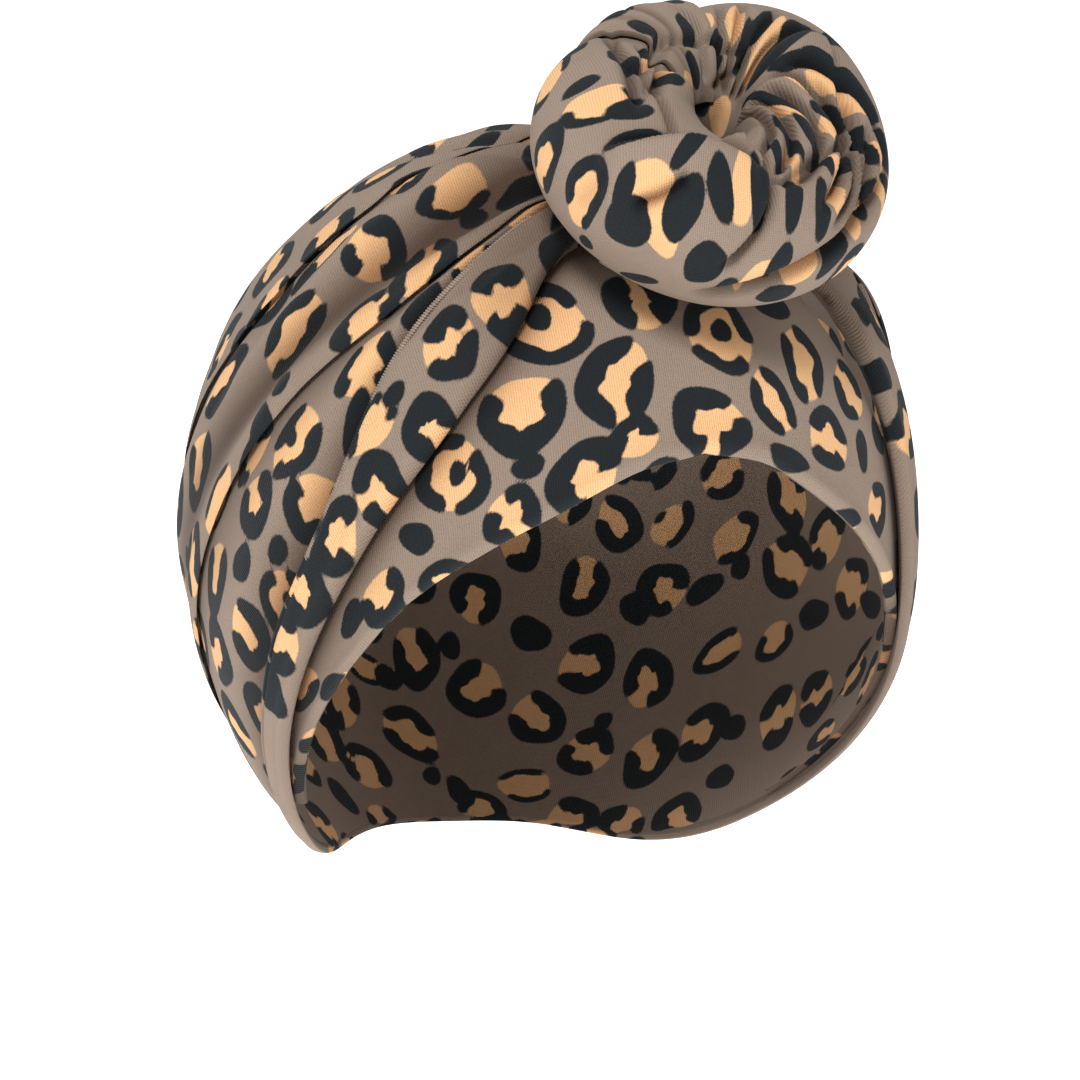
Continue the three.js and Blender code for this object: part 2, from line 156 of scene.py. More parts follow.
# The spotted print repeats over the cloth. Each row is one spot, in mm and degrees: its middle,
# half length and half width, turn, the width of its dark ring (0 for a solid dark spot, -1 for a
# light one), and the directions and widths of up to two openings in the ring.
REPEAT = (150, 200)
SPOT_KEYS = ("u", "v", "long", "wide", "turn", "band", "open", "gap", "open_2", "gap_2")
SPOTS = table_of(
    SPOT_KEYS,
    (-34, 6, 10.6, 10, 0, 3.7, 8, 26),
    (-35, 7.6, 3.3, 3.1, 60),
    (-11, 8.5, 8.6, 7.6, 0, 5.6, -82, 50, 98, 26),
    (7.5, 1.5, 9.6, 9, 20, 3.7, -28, 32, 195, 14),
    (8, 2.2, 2.9, 2.7),
    (-20, -9, 10.2, 8.8, 60, 5.6, 40, 32, -82, 26),
    (-42, -12.5, 11, 8.2, 10, 5.6, 88, 84),
    (-42, -23.6, 3.8, 2.6, 5),
    (-59.5, -22, 9, 8.6, 0, 3.6, 48, 22, -100, 14),
    (-58.2, -21.8, 2.1, 2.7),
    (-29.5, -27.5, 9.2, 7.4, 38, 5.2, -38, 84),
    (-46.5, -33, 7.4, 5.8, 30, 4.2, 132, 40, -62, 40),
    (-69.5, -33, 4.6, 3.4, -40),
    (-64, -43, 6.4, 4.2, 20, 3.4, -70, 120),
    (-79.5, -44, 7.4, 5.8, 50, 4.2, 120, 80),
    (-89, -46.5, 4.6, 3, 60),
    (-17.5, -20.6, 6.6, 4.2, 24, 3.8, -66, 120),
    (-11.5, -27.6, 6, 2.6, 14),
    (1.5, -17.8, 9.8, 7.6, 0, 5, 28, 28, -92, 30),
    (19.5, -12, 8.2, 5.6, -55, 3.6, 125, 28, -55, 26),
    (32, -1.5, 9, 7.4, 78, 4.2, 118, 26, -76, 30),
    (25.5, 11.5, 6, 4, 10),
    (37.5, -17, 8, 6.8, -20, 4.6, 188, 38, -16, 38),
    (22.5, -23.4, 6, 2.7, -8),
    (50, -3, 8, 6.6, 60, 4, -30, 50, 140, 30),
    (52.5, -16, 5, 3, 78),
    (60, -27, 7, 5.6, 60, 3.8, 170, 60),
    (65, -8, 6, 4, 60),
    (5, -36, 8.8, 7.4, 20, 4.6, 100, 44, -70, 20),
    (25, -38, 8.4, 7.8, 70, 4.6, -140, 44),
    (44, -38, 8.6, 7.4, -30, 4.6, 20, 50),
    (-15, -42, 8.8, 7.6, 60, 4.8, 150, 40, -30, 30),
    (-35, -43, 5.6, 3.8, -30),
    # the front pleat, from the knot down
    (225, 60.5, 7.9, 6.6, 90, 4.8, 0, 46, 180, 60),
    (212.5, 56.4, 7.2, 6.4, 90, 4.8, 175, 40, 20, 16),
    (203, 43.8, 6.8, 5.8, 60, 5, -60, 80),
    (198.5, 53, 2.8, 2, 20),
    (191.5, 50.5, 7.4, 4.6, 22, 2.8, -90, 110, 20, 40),
    (188, 38.5, 8.2, 6.2, 75, 4.8, -75, 70, 170, 26),
    (174, 37.5, 7.8, 6, 30, 4.4, -40, 60),
    (160, 35, 7.6, 6.4, 60, 4.6, 120, 50),
    (147, 33, 7.4, 6, 20, 4.2, -60, 60),
    (134, 31, 6.4, 4.8, 50),
    (238, 67.5, 4.4, 3, 30),
    # the pleats behind it
    (187.5, 62, 6.6, 2.9, 50),
    (173.5, 69, 8.8, 7.4, 20, 4, 18, 70, 165, 30),
    (172.6, 70.6, 2.3, 1.9, 90),
    (171, 54.6, 7.8, 7.2, 0, 4.6, 48, 84),
    (157.5, 66.5, 7.2, 6.6, 0, 4.6, 78, 40),
    (194, 72, 7.8, 6.8, 30, 3.8, 60, 56, -115, 60),
    (196.5, 88, 8.6, 5.6, 8, 3.6, -95, 70, 20, 20),
    (178.8, 98.5, 10, 6, 14, 4, 16, 24, -165, 36),
    (174, 88.5, 2.9, 2.5),
    (211.5, 92.5, 9.2, 6.6, 35, 4, -110, 46, 85, 16),
    (209, 77, 5.4, 3.4, 30),
    (222, 80, 6, 4.4, 20, 2.4, 110, 90),
    (202, 103.5, 7.8, 7, 60, 4.4, -125, 60, 120, 36),
    (224, 101.5, 3.1, 2.8),
    (222, 108, 8.8, 4.6, 8, 2.6, 75, 90, 0, 40),
    (235.5, 103.5, 6, 2.8, 5),
    (237, 88, 7.4, 4.4, 10, 2.6, 190, 60),
    (215.5, 121, 8.6, 5.4, 5, 3.4, 190, 50, 15, 24),
    (236.5, 121, 7.8, 4.6, 0, 2.8, 0, 90, 120, 50),
    (231, 131, 6, 2),
    (191.5, 124, 8.2, 5.4, 10, 3.6, 95, 70),
    (192, 112.5, 7.8, 3.6, 12, 2, 180, 60, 0, 40),
    (173.5, 116, 8.4, 7, 15, 4.6, 70, 60),
    (184, 111, 4.4, 2.8, 10),
    (155, 107.5, 9.2, 6.8, 15, 4.6, 150, 70),
    (161.5, 118, 3.6, 3),
    (166, 84, 4.8, 3.4, 50),
    (160.5, 79, 8, 4.4, 20, 2.8, -65, 80),
    (139, 97, 8.6, 6.2, 15, 4.2, 60, 60),
    (146, 82, 8.4, 4.6, 20, 2, 0, 50, 180, 50),
    (147, 60, 4.6, 3.4),
    (158, 54, 3.2, 2.6),
    (152, 45.5, 8, 7.6, 0, 3.3, 60, 24, -100, 14),
    (153, 45.5, 2.4, 2.2),
    (168, 45.5, 3.4, 2.4, 40),
    (137, 50, 7.8, 6.2, 30, 4.4, 100, 50),
    (135, 68, 8.2, 6.6, 10, 4.6, 40, 60),
    (127, 84, 8, 6, 20, 4.2, -120, 50, 60, 20),
    (122, 59, 8, 6.6, 40, 4.4, 150, 50),
    (121, 42, 7, 5.8, 20, 4, -30, 60),
    (111, 74, 8.2, 6.8, 0, 4.6, 80, 50),
    (106, 52, 8, 6.6, 30, 4.4, -100, 50),
    (122, 104, 8.4, 6.8, 10, 4.6, 30, 50),
    (107, 93, 7.8, 6.6, 60, 4.4, -40, 50),
    (136, 116, 6.2, 4, 20),
    (117, 121, 8, 6.6, 0, 4.4, 120, 50),
    (105, 110, 4.8, 3.6, 30),
    (151, 127, 8.2, 6.2, 10, 4.2, -60, 50),
    (101, 129, 7.8, 6.4, 40, 4.2, 60, 50),
    (172, 133, 8, 6, 0, 4, 100, 60),
    (206, 137, 8, 5.4, 0, 3.6, 60, 60),
    (133, 136, 8, 6.2, 0, 4.2, 0, 50),
    (121, 89.5, 2.6, 2.2),
    (99, 38, 7.4, 5.8, 10, 4, 30, 60),
    (191, 141, 7.6, 5.8, 10, 4, 40, 60),
    (222, 143, 7.4, 6, 30, 4, -60, 60),
    (155, 144, 7.2, 5.6, 20, 3.8, 150, 60),
    (113, 140, 7.6, 6, 0, 4, -30, 60),
    (238, 137, 5, 3.4, 40),
    (92, 142, 7, 5.6, 60, 3.8, 60, 60),
    (96, 110, 7.6, 6.2, 20, 4.2, -120, 50),
    (96, 72, 7.8, 6.4, 0, 4.2, 30, 50),
    (93, 56, 4.6, 3.2, 30),
)
SPOT_FAR = 9.0  # mm beyond which a place's distance from the print isn't told apart
SPOT_REACH = {"times": 1.4, "more": 6}  # a spot counts out to 1.4 of its half length and 6 mm more
SOFTEN = 1.8  # mm over which a ring's ends are rounded
SPILL = {"out": 0.84, "aside": 0.12}  # where the light centre runs out through an opening
CENTRE_UNDER = 0.3  # mm by which it runs on under the ring
# The edges' waves and the rings' teeth: how many go round, how high they are, and how fast their
# phase grows from spot to spot.
WAVES = ((2, 0.055, 1), (3, 0.05, 2), (5, 0.02, 1))
TEETH = ((2, 0.13, 3), (5, 0.07, 1), (9, 0.03, 5))
PHASE = 2.4


def soft_max(a, b):
    blend = np.clip(0.5 + 0.5 * (a - b) / SOFTEN, 0, 1)
    return b + (a - b) * blend + SOFTEN * blend * (1 - blend)


def angle_apart(a, b):
    return np.abs((a - b + math.pi) % (2 * math.pi) - math.pi)


def wavy(facing, phase, waves):
    return sum(high * np.sin(count * facing + growth * phase) for count, high, growth in waves)


def spotted(cloth, chart, repeat):
    """How far each place of the cloth is outside the nearest dark shape and light centre, in mm."""
    dark = np.full(len(cloth), SPOT_FAR)
    centre = np.full(len(cloth), SPOT_FAR)
    half = np.array(repeat) / 2
    for k, spot in enumerate(chart):
        off = (cloth - (spot["u"], spot["v"]) + half) % repeat - half
        reach = SPOT_REACH["times"] * spot["long"] + SPOT_REACH["more"]
        near = np.flatnonzero((off**2).sum(1) < reach**2)
        if not near.size:
            continue
        turn = math.radians(spot["turn"])
        x = off[near] @ (math.cos(turn), math.sin(turn)) / spot["long"]
        y = off[near] @ (-math.sin(turn), math.cos(turn)) / spot["wide"]
        size = math.sqrt(spot["long"] * spot["wide"])
        facing = np.arctan2(y, x)
        out = np.hypot(x, y) * (1 + wavy(facing, PHASE * k, WAVES))
        shape = (out - 1) * size
        if spot["band"] < 0:
            centre[near] = np.minimum(centre[near], shape)
            continue
        if spot["band"]:
            inside = 1 - spot["band"] / size * (1 + wavy(facing, PHASE * k, TEETH))
            hollow = (out - inside) * size
            shape = np.maximum(shape, -hollow)
            for way, gap in (("open", "gap"), ("open_2", "gap_2")):
                if not spot[gap]:
                    continue
                past = math.radians(spot[gap]) / 2 - angle_apart(facing, math.radians(spot[way]) - turn)
                shape = soft_max(shape, past * out * size)
                spill = np.maximum((out - SPILL["out"]) * size, (-past - SPILL["aside"]) * out * size)
                hollow = np.minimum(hollow, spill)
            centre[near] = np.minimum(centre[near], hollow - CENTRE_UNDER)
        dark[near] = np.minimum(dark[near], shape)
    return dark, centre


def grid_mesh(name, outer, inner, cloths, shades, chart=SPOTS, repeat=REPEAT):
    """A closed wall between two layers, each (columns, rows, 3) in mm, with the cloth's own places
    and the fold shade of both. Columns run to the right and rows up, seen from outside."""
    order = np.arange(outer[..., 0].size).reshape(outer.shape[:2])
    under = order.size
    corners = order[:-1, :-1], order[1:, :-1], order[1:, 1:], order[:-1, 1:]
    face = np.stack(corners, -1).reshape(-1, 4)
    loop = np.concatenate([order[:-1, 0], order[-1, :-1], order[:0:-1, -1], order[0, :0:-1]])
    after = np.roll(loop, -1)
    rim = np.stack([after, loop, loop + under, after + under], -1)
    faces = np.concatenate([face, face[:, ::-1] + under, rim])
    points = np.concatenate([outer.reshape(-1, 3), inner.reshape(-1, 3)]) * MM
    cloth = np.concatenate([c.reshape(-1, 2) for c in cloths])
    shade = np.concatenate([s.ravel() for s in shades])
    piece = cloth_object(name, points, faces, cloth, shade, chart, repeat)
    # The two ends are cut square, with sharp edges, so that the next piece runs on smoothly.
    end = np.zeros(len(points), int)
    for number, line in enumerate((order[0], order[-1]), 1):
        end[line] = number
        end[line + under] = number + 2
    ends = np.empty(len(piece.data.edges) * 2, np.int32)
    piece.data.edges.foreach_get("vertices", ends)
    first, second = end[ends.reshape(-1, 2)].T
    sharp = piece.data.attributes.new("sharp_edge", "BOOLEAN", "EDGE")
    sharp.data.foreach_set("value", (first == second) & (first > 0))
    return piece


def write_values(mesh, name, values):
    """Keeps a number or a vector with each point of the mesh."""
    kind, field = ("FLOAT", "value") if values.ndim == 1 else ("FLOAT_VECTOR", "vector")
    layer = mesh.attributes.new(name, kind, "POINT")
    layer.data.foreach_set(field, values.astype(np.float32).ravel())


def lay_print_and_shade(mesh, cloth, shade, chart=SPOTS, repeat=REPEAT):
    """Prints a mesh, by the place of each point on the cloth in mm, and keeps each point's painted fold
    shade.
    """
    dark, centre = spotted(cloth, chart, repeat)
    write_values(mesh, "print_dark", dark)
    write_values(mesh, "print_centre", centre)
    write_values(mesh, "fold_shade", shade)
    write_values(mesh, "cloth_mm", np.pad(cloth, ((0, 0), (0, 1))))


def cloth_object(name, points, faces, cloth, shade, chart=SPOTS, repeat=REPEAT):
    mesh = bpy.data.meshes.new(name)
    mesh.vertices.add(len(points))
    mesh.vertices.foreach_set("co", points.ravel())
    mesh.loops.add(faces.size)
    mesh.loops.foreach_set("vertex_index", faces.ravel().astype(np.int32))
    mesh.polygons.add(len(faces))
    mesh.polygons.foreach_set("loop_start", np.arange(0, faces.size, faces.shape[1], dtype=np.int32))
    mesh.update(calc_edges=True)
    mesh.validate()
    mesh.polygons.foreach_set("use_smooth", np.ones(len(mesh.polygons), bool))
    lay_print_and_shade(mesh, cloth, shade, chart, repeat)
    return placed(name, mesh)


# The jersey: a printed colour on a fine knit, darkened by painted shade. The knit is a group of its own,
# and the print with its painted shade another.
GROUND = (0.305, 0.231, 0.178, 1)
SPOT = (0.014, 0.018, 0.021, 1)
CENTRE = (0.88, 0.51, 0.25, 1)
# Painted shade: a dark brown that the colours are multiplied towards in folds, creases, the dimple, beside
# the wraps' edges and on the inside.
FOLD_SHADE_COLOUR = (0.16, 0.10, 0.07, 1)  # what the colours are multiplied by in the deepest fold
KNIT_DEPTH = 0.00016
STITCH = {"lean": 2.2, "high": 0.3}  # radians that stitches slant, and their height beside the wales
KNIT_MIDDLE = 0.65  # height of the knit at which the colour is neither lighter nor darker
RAGGED = {"scale": 1.4, "high": 0.5}  # noise that frays the print's edges, per mm and in mm
HEATHER_FINE, HEATHER_BROAD = 2.4, 0.05  # unevenness of the yarn, per mm
NOISE_DETAIL = 2


def new_group(name, inputs, outputs):
    tree = bpy.data.node_groups.new(name, "ShaderNodeTree")
    for label, kind, value in inputs:
        socket = tree.interface.new_socket(label, in_out="INPUT", socket_type=kind)
        socket.default_value = value
    for label, kind in outputs:
        tree.interface.new_socket(label, in_out="OUTPUT", socket_type=kind)
    return tree, tree.nodes.new("NodeGroupInput"), tree.nodes.new("NodeGroupOutput")


def join(tree, value, socket):
    """Gives a socket a plain value or links another socket to it."""
    if isinstance(value, bpy.types.NodeSocket):
        tree.links.new(value, socket)
    else:
        socket.default_value = value


def math_node(tree, operation, *values, clamp=False):
    node = tree.nodes.new("ShaderNodeMath")
    node.operation = operation
    node.use_clamp = clamp
    for socket, value in zip(node.inputs, values):
        join(tree, value, socket)
    return node.outputs[0]


def mix_colour(tree, share, a, b, blend="MIX"):
    node = tree.nodes.new("ShaderNodeMix")
    node.data_type = "RGBA"
    node.blend_type = blend
    for number, value in ((0, share), (6, a), (7, b)):
        join(tree, value, node.inputs[number])
    return node.outputs[2]


def read_attribute(tree, name, output="Fac"):
    node = tree.nodes.new("ShaderNodeAttribute")
    node.attribute_name = name
    return node.outputs[output]


def noise(tree, vector, scale):
    """Noise about zero."""
    node = tree.nodes.new("ShaderNodeTexNoise")
    node.inputs["Scale"].default_value = scale
    node.inputs["Detail"].default_value = NOISE_DETAIL
    tree.links.new(vector, node.inputs["Vector"])
    return math_node(tree, "SUBTRACT", node.outputs["Fac"], 0.5)


def make_knit_group():
    tree, given, result = new_group(
        "jersey_knit",
        [("Wales per mm", "NodeSocketFloat", 1.8), ("Courses per mm", "NodeSocketFloat", 2.1)],
        [("Height", "NodeSocketFloat")],
    )
    apart = tree.nodes.new("ShaderNodeSeparateXYZ")
    tree.links.new(read_attribute(tree, "cloth_mm", "Vector"), apart.inputs[0])
    across = math_node(tree, "MULTIPLY", apart.outputs[0], given.outputs["Wales per mm"])
    upward = math_node(tree, "MULTIPLY", apart.outputs[1], given.outputs["Courses per mm"])
    wave = math_node(tree, "SINE", math_node(tree, "MULTIPLY", across, math.pi))
    wales = math_node(tree, "ABSOLUTE", wave)
    lean = math_node(tree, "MULTIPLY", wales, STITCH["lean"])
    slant = math_node(tree, "ADD", math_node(tree, "MULTIPLY", upward, 2 * math.pi), lean)
    stitches = math_node(tree, "MULTIPLY", math_node(tree, "SINE", slant), STITCH["high"])
    tree.links.new(math_node(tree, "ADD", wales, stitches), result.inputs["Height"])
    return tree


def make_print_and_shade_group():
    tree, given, result = new_group(
        "spotted_print_and_shade",
        [
            ("Ground", "NodeSocketColor", GROUND),
            ("Spot", "NodeSocketColor", SPOT),
            ("Centre", "NodeSocketColor", CENTRE),
            ("Knit", "NodeSocketFloat", 0.5),
            ("Edge", "NodeSocketFloat", 0.22),
            ("Heather", "NodeSocketFloat", 0.2),
            ("Knit Shade", "NodeSocketFloat", 0.16),
            ("Fold Shade", "NodeSocketFloat", 0.88),
        ],
        [("Color", "NodeSocketColor")],
    )
    cloth = read_attribute(tree, "cloth_mm", "Vector")
    ragged = math_node(tree, "MULTIPLY", noise(tree, cloth, RAGGED["scale"]), RAGGED["high"])

    def mask(attribute):
        raw = math_node(tree, "ADD", read_attribute(tree, attribute), ragged)
        soft = math_node(tree, "DIVIDE", raw, given.outputs["Edge"])
        return math_node(tree, "SUBTRACT", 0.5, math_node(tree, "MULTIPLY", soft, 0.5), clamp=True)

    base = mix_colour(tree, mask("print_centre"), given.outputs["Ground"], given.outputs["Centre"])
    base = mix_colour(tree, mask("print_dark"), base, given.outputs["Spot"])
    fine, broad = noise(tree, cloth, HEATHER_FINE), noise(tree, cloth, HEATHER_BROAD)
    uneven = math_node(tree, "ADD", fine, broad)
    change = math_node(tree, "MULTIPLY", uneven, given.outputs["Heather"])
    # Painted shade and light of the knit: the colour is darker where the knit lies low and lighter on its
    # raised loops.
    loops = math_node(tree, "SUBTRACT", given.outputs["Knit"], KNIT_MIDDLE)
    change = math_node(tree, "ADD", change, math_node(tree, "MULTIPLY", loops, given.outputs["Knit Shade"]))
    shaded = tree.nodes.new("ShaderNodeHueSaturation")
    tree.links.new(base, shaded.inputs["Color"])
    tree.links.new(math_node(tree, "ADD", 1.0, change), shaded.inputs["Value"])
    # Painted shade: each point's fold_shade darkens its colour towards the dark brown of the folds.
    fold = read_attribute(tree, "fold_shade")
    depth = math_node(tree, "MULTIPLY", fold, given.outputs["Fold Shade"], clamp=True)
    fold_shaded = mix_colour(tree, depth, shaded.outputs["Color"], FOLD_SHADE_COLOUR, "MULTIPLY")
    tree.links.new(fold_shaded, result.inputs["Color"])
    return tree


jersey = bpy.data.materials.new("printed_jersey")
jersey.use_nodes = True
tree = jersey.node_tree
shader = tree.nodes["Principled BSDF"]
knit = tree.nodes.new("ShaderNodeGroup")
knit.node_tree = make_knit_group()
colour = tree.nodes.new("ShaderNodeGroup")
colour.node_tree = make_print_and_shade_group()
bump = tree.nodes.new("ShaderNodeBump")
bump.inputs["Distance"].default_value = KNIT_DEPTH
bump.inputs["Strength"].default_value = 0.7
tree.links.new(knit.outputs["Height"], colour.inputs["Knit"])
tree.links.new(colour.outputs["Color"], shader.inputs["Base Color"])
tree.links.new(knit.outputs["Height"], bump.inputs["Height"])
tree.links.new(bump.outputs["Normal"], shader.inputs["Normal"])
shader.inputs["Roughness"].default_value = 0.8
shader.inputs["Specular IOR Level"].default_value = 0.15
shader.inputs["Sheen Weight"].default_value = 0.04
shader.inputs["Sheen Roughness"].default_value = 0.45


def dress(piece, *nodes):
    """Gives a piece its cloth, hides the model's parts that it stands for, and hangs it under the root."""
    if not piece.data.materials:
        piece.data.materials.append(jersey)
    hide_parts(*nodes)
    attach(piece, "root")


# The print lies on the panel as flat distances from a place in its middle.
BROW_MIDDLE = 46  # degrees above the horizontal
BROW_RADIUS = 90  # mm from the middle of the head


def brow_cloth(direction):
    middle = level_direction(0, BROW_MIDDLE)
    up = level_direction(0, BROW_MIDDLE + 90)
    away = BROW_RADIUS * np.arccos(np.clip(direction @ middle, -1, 1))
    facing = np.arctan2(direction @ up, direction[..., 0])
    return np.stack([away * np.cos(facing), away * np.sin(facing)], -1)


reach = BROW[-1]["round"]
brow_columns = int(2 * math.radians(reach) * HEAD["x"] / BROW_MESH)
around = np.linspace(-reach, reach, brow_columns)
stations = column(BROW, "round")
low_right, low_left, high = (
    along(stations, column(BROW, key), np.abs(around)) for key in ("low_right", "low_left", "high")
)
low = np.where(around < 0, low_right, low_left)
tall = np.radians(high - low) * HEAD["z"]
brow_rows = int(tall.max() / BROW_MESH)
share = np.linspace(0, 1, brow_rows) ** BROW_CROWDING
brow_direction = level_direction(around[:, None], low[:, None] + (high - low)[:, None] * share)
from_edge = tall[:, None] * share
rolled = np.sqrt(np.clip(1 - (1 - np.minimum(from_edge / BROW_ROLL, 1)) ** 2, BROW_BLUNT, 1))
bead = BROW_BEAD["high"] * mound(from_edge - BROW_ROLL, BROW_BEAD["wide"])
outer = on_head(brow_direction, BROW_EDGE + (CLOTH - BROW_EDGE) * rolled + bead * rolled)
inner = on_head(brow_direction, 0 * from_edge)
cloth = brow_cloth(brow_direction)
cloths = cloth, cloth + BROW_LINING_AT
no_shade = 0 * from_edge
brow_panel = grid_mesh("brow_panel_cloth", outer, inner, cloths, (no_shade, no_shade + LINING_SHADE))
dress(brow_panel, "brow_panel")

# ==== side wraps ====
# Each is the band's broad end, laid in pleats and drawn from behind the ear up to the knot. The
# front pleat is a flat strip folded at both edges, and the rest steps back to the open crown.
FAN_TILT = math.radians(60)  # how high in front the fan point is, where the pleats' lines meet
WRAP_INSIDE = CLOTH + GAP
WRAP_END = 118  # degrees from the fan point to behind the ear
STATIONS = [14, 26, 40, 60, 85, WRAP_END]  # degrees from the fan point
ACROSS_END = 11
# A row is a line of the cloth from under the knot to behind the ear. at is its place across the band,
# from 0 at the leading hem to ACROSS_END at the crown. turn is its angle round the fan point and lift
# its height over the head at each station. drop and nape_lift are its angle below the horizontal and
# its height at the nape. steps is how finely the cloth up to the next row is cut, tuck the cloth
# hidden before the row, and shade how little light reaches it.
FOLDS = table_of(
    ("at", "turn", "lift", "drop", "nape_lift", "steps", "tuck", "shade"),
    # leading hem, edge and roll over the brow panel
    (0.0, [93, 71, 64, 62.3, 60.8, 57.8], [5.0, 3.0, 2.6, 2.5, 2.5, 2.5], 63, 2.6, 3, 0, 1.0),
    (0.2, [91.5, 69.3, 62.4, 60.8, 59.4, 56.5], [6.6, 4.4, 3.7, 3.6, 3.4, 3.2], 62.4, 3.2, 3, 0, 0.5),
    (1.0, [95, 73, 65, 62.6, 60.8, 57.8], [8.4, 7.0, 6.0, 5.6, 5.1, 4.6], 60.5, 4.2, 4, 0, 0.0),
    (1.5, [103, 82, 72, 65.5, 62.4, 58.8], [8.6, 7.0, 6.0, 5.5, 5.0, 4.5], 55, 4.3, 6, 0, 0.0),
    # back edge of the strip and the tuck under it
    (2.0, [112, 92.5, 81, 68.8, 64.2, 60], [8.6, 7.5, 6.5, 6.0, 5.4, 4.9], 51, 4.6, 3, 0, 0.0),
    (2.2, [113.2, 94, 82.4, 70, 65.2, 60.8], [7.6, 6.4, 5.4, 5.0, 4.7, 4.4], 50, 4.3, 3, 2, 0.25),
    (2.4, [112, 93, 81.6, 69.3, 64.6, 60.4], [6.4, 4.7, 3.9, 3.8, 3.8, 3.7], 50.2, 3.9, 3, 6, 1.0),
    (3.0, [115, 96, 84, 71, 66.4, 62.2], [5.6, 3.8, 3.1, 3.1, 3.2, 3.3], 48.8, 3.6, 4, 0, 0.95),
    (4.0, [119, 98.5, 87.5, 79, 75, 70], [7.0, 5.8, 5.3, 5.4, 5.0, 4.5], 44, 4.6, 7, 0, 0.0),
    # second pleat, whose upper cloth lies over the lower
    (4.8, [122.5, 101.5, 91, 89, 86.8, 83.4], [6.3, 4.4, 3.8, 3.6, 3.6, 3.6], 38, 3.6, 3, 4, 0.6),
    (5.2, [123.5, 102.5, 92.2, 90, 87.8, 84.2], [6.5, 4.9, 4.3, 4.1, 4.0, 3.9], 37.4, 3.9, 3, 3, 0.7),
    (5.6, [122.5, 101, 90.6, 88.2, 86, 82.4], [6.8, 5.6, 5.2, 5.0, 4.8, 4.5], 38.2, 4.4, 3, 0, 0.2),
    (6.2, [126, 104, 93.4, 91, 88.8, 85.2], [7.0, 5.7, 5.6, 5.5, 5.2, 4.8], 36, 4.8, 4, 0, 0.0),
    (7.0, [138, 116, 104, 96, 94, 93], [4.8, 2.9, 2.8, 3.6, 4.3, 4.1], 29, 3.8, 6, 0, 0.9),
    (8.0, [152, 136, 116, 104, 102, 105], [8.8, 8.6, 7.4, 6.0, 5.4, 5.0], 23, 4.9, 8, 0, 0.0),
    # hem pleat near the crown
    (8.8, [162, 150, 127, 111, 110, 114.4], [7.2, 5.6, 4.8, 4.0, 3.9, 3.9], 17, 3.9, 3, 3, 0.4),
    (9.2, [163, 151, 128, 112, 111, 115.4], [7.3, 6.0, 5.3, 4.5, 4.3, 4.2], 16.4, 4.1, 3, 3, 0.45),
    (9.6, [161.5, 149.4, 126.2, 110.3, 109.3, 113.6], [7.6, 6.7, 6.0, 5.3, 5.0, 4.7], 17.2, 4.7, 3, 0, 0.1),
    (10.0, [165, 153, 130, 113.5, 112.4, 117], [7.8, 6.8, 6.2, 5.6, 5.2, 4.8], 14, 4.8, 8, 0, 0.0),
    # rim of the open crown
    (10.7, [171.5, 163, 149, 132, 129, 139.6], [6.8, 5.6, 5.0, 4.7, 4.5, 4.3], 8.6, 4.2, 4, 0, 0.0),
    (11.0, [173, 165, 152, 135, 132, 143], [5.0, 3.4, 2.9, 2.8, 2.7, 2.7], 7, 2.7, 0, 0, 0.4),
)
# On the wearer's left the leading edge bows back under the knot and the cloth stands off the head.
LEFT_BOW = [10, 20, 12, -4, -4, 0]
LEFT_PUFF = [0, 2.4, 3.4, 0, -0.8, -0.5]
# Small drawn wrinkles that fan out from the knot: turn near the knot and at the far end, where they
# start and end in degrees from the fan point, and height and width in mm.
WRINKLES = table_of(
    ("near", "far", "start", "end", "high", "wide"),
    (132, 97, 14, 52, 1.5, 2.0),
    (139, 104, 14, 46, -1.4, 1.5),
    (146, 118, 14, 60, 1.3, 2.2),
    (150, 124, 14, 44, -1.3, 1.3),
    (157, 132, 16, 64, -1.4, 1.5),
    (163, 140, 14, 52, 1.1, 1.6),
    (168, 146, 14, 70, 1.0, 2.2),
    (127, 93, 16, 56, -1.3, 1.4),
    (104, 78, 14, 50, -1.0, 1.5),
    (99, 74, 14, 42, 0.8, 1.4),
    (120, 90, 16, 58, 0.9, 1.8),
    (110, 82, 40, 90, 0.5, 2.6),
    (117, 97, 46, 100, -0.7, 2.0),
    (125, 104, 40, 84, 0.7, 2.4),
    (112, 98, 62, 118, 0.5, 3.0),
    (128, 122, 60, 118, 0.6, 3.4),
    (122, 112, 56, 104, -0.6, 2.0),
)
FAN = np.array([0, -math.cos(FAN_TILT), math.sin(FAN_TILT)])
FAN_DOWN = np.array([0, -math.sin(FAN_TILT), -math.cos(FAN_TILT)])
FAN_RADIUS = 84  # mm from the middle of the head to the cloth, on the average
WRAP_MESH = 0.78  # mm between the points along a fold
FINENESS = 2.0  # mesh steps for each step that a fold's row asks for
WRAP_CROWDING = 1.1  # power that draws the mesh's lines towards the knot
HEM_IN = 1.2  # degrees by which the inner face stops short of both hems
WRINKLE_START = 0.12  # how far along its rise a wrinkle is where it leaves the knot
WRINKLE_FULL = 0.7  # power that keeps a wrinkle full between its ends
WRINKLE_SWAY, SWAY_STEP = 3, 5  # degrees by which the left wrinkles lie elsewhere, and how it varies
WRINKLE_FROM, WRINKLE_OVER = 3.2, 1.4  # mm of lift at which cloth starts to wrinkle, and over which
FAR_SHADE = {"least": 0.45, "from": 70, "over": 60}  # how folds grow lighter, by degrees from the knot
KNOT_SHADE = {"most": 0.6, "from": 18, "over": 24}  # the shade beside the knot, by the same degrees


def fan_direction(away, turn, side):
    a, t = np.radians(away)[..., None], np.radians(turn)[..., None]
    sideways = np.array([side, 0, 0])
    return np.cos(a) * FAN + np.sin(a) * np.cos(t) * FAN_DOWN + np.sin(a) * np.sin(t) * sideways


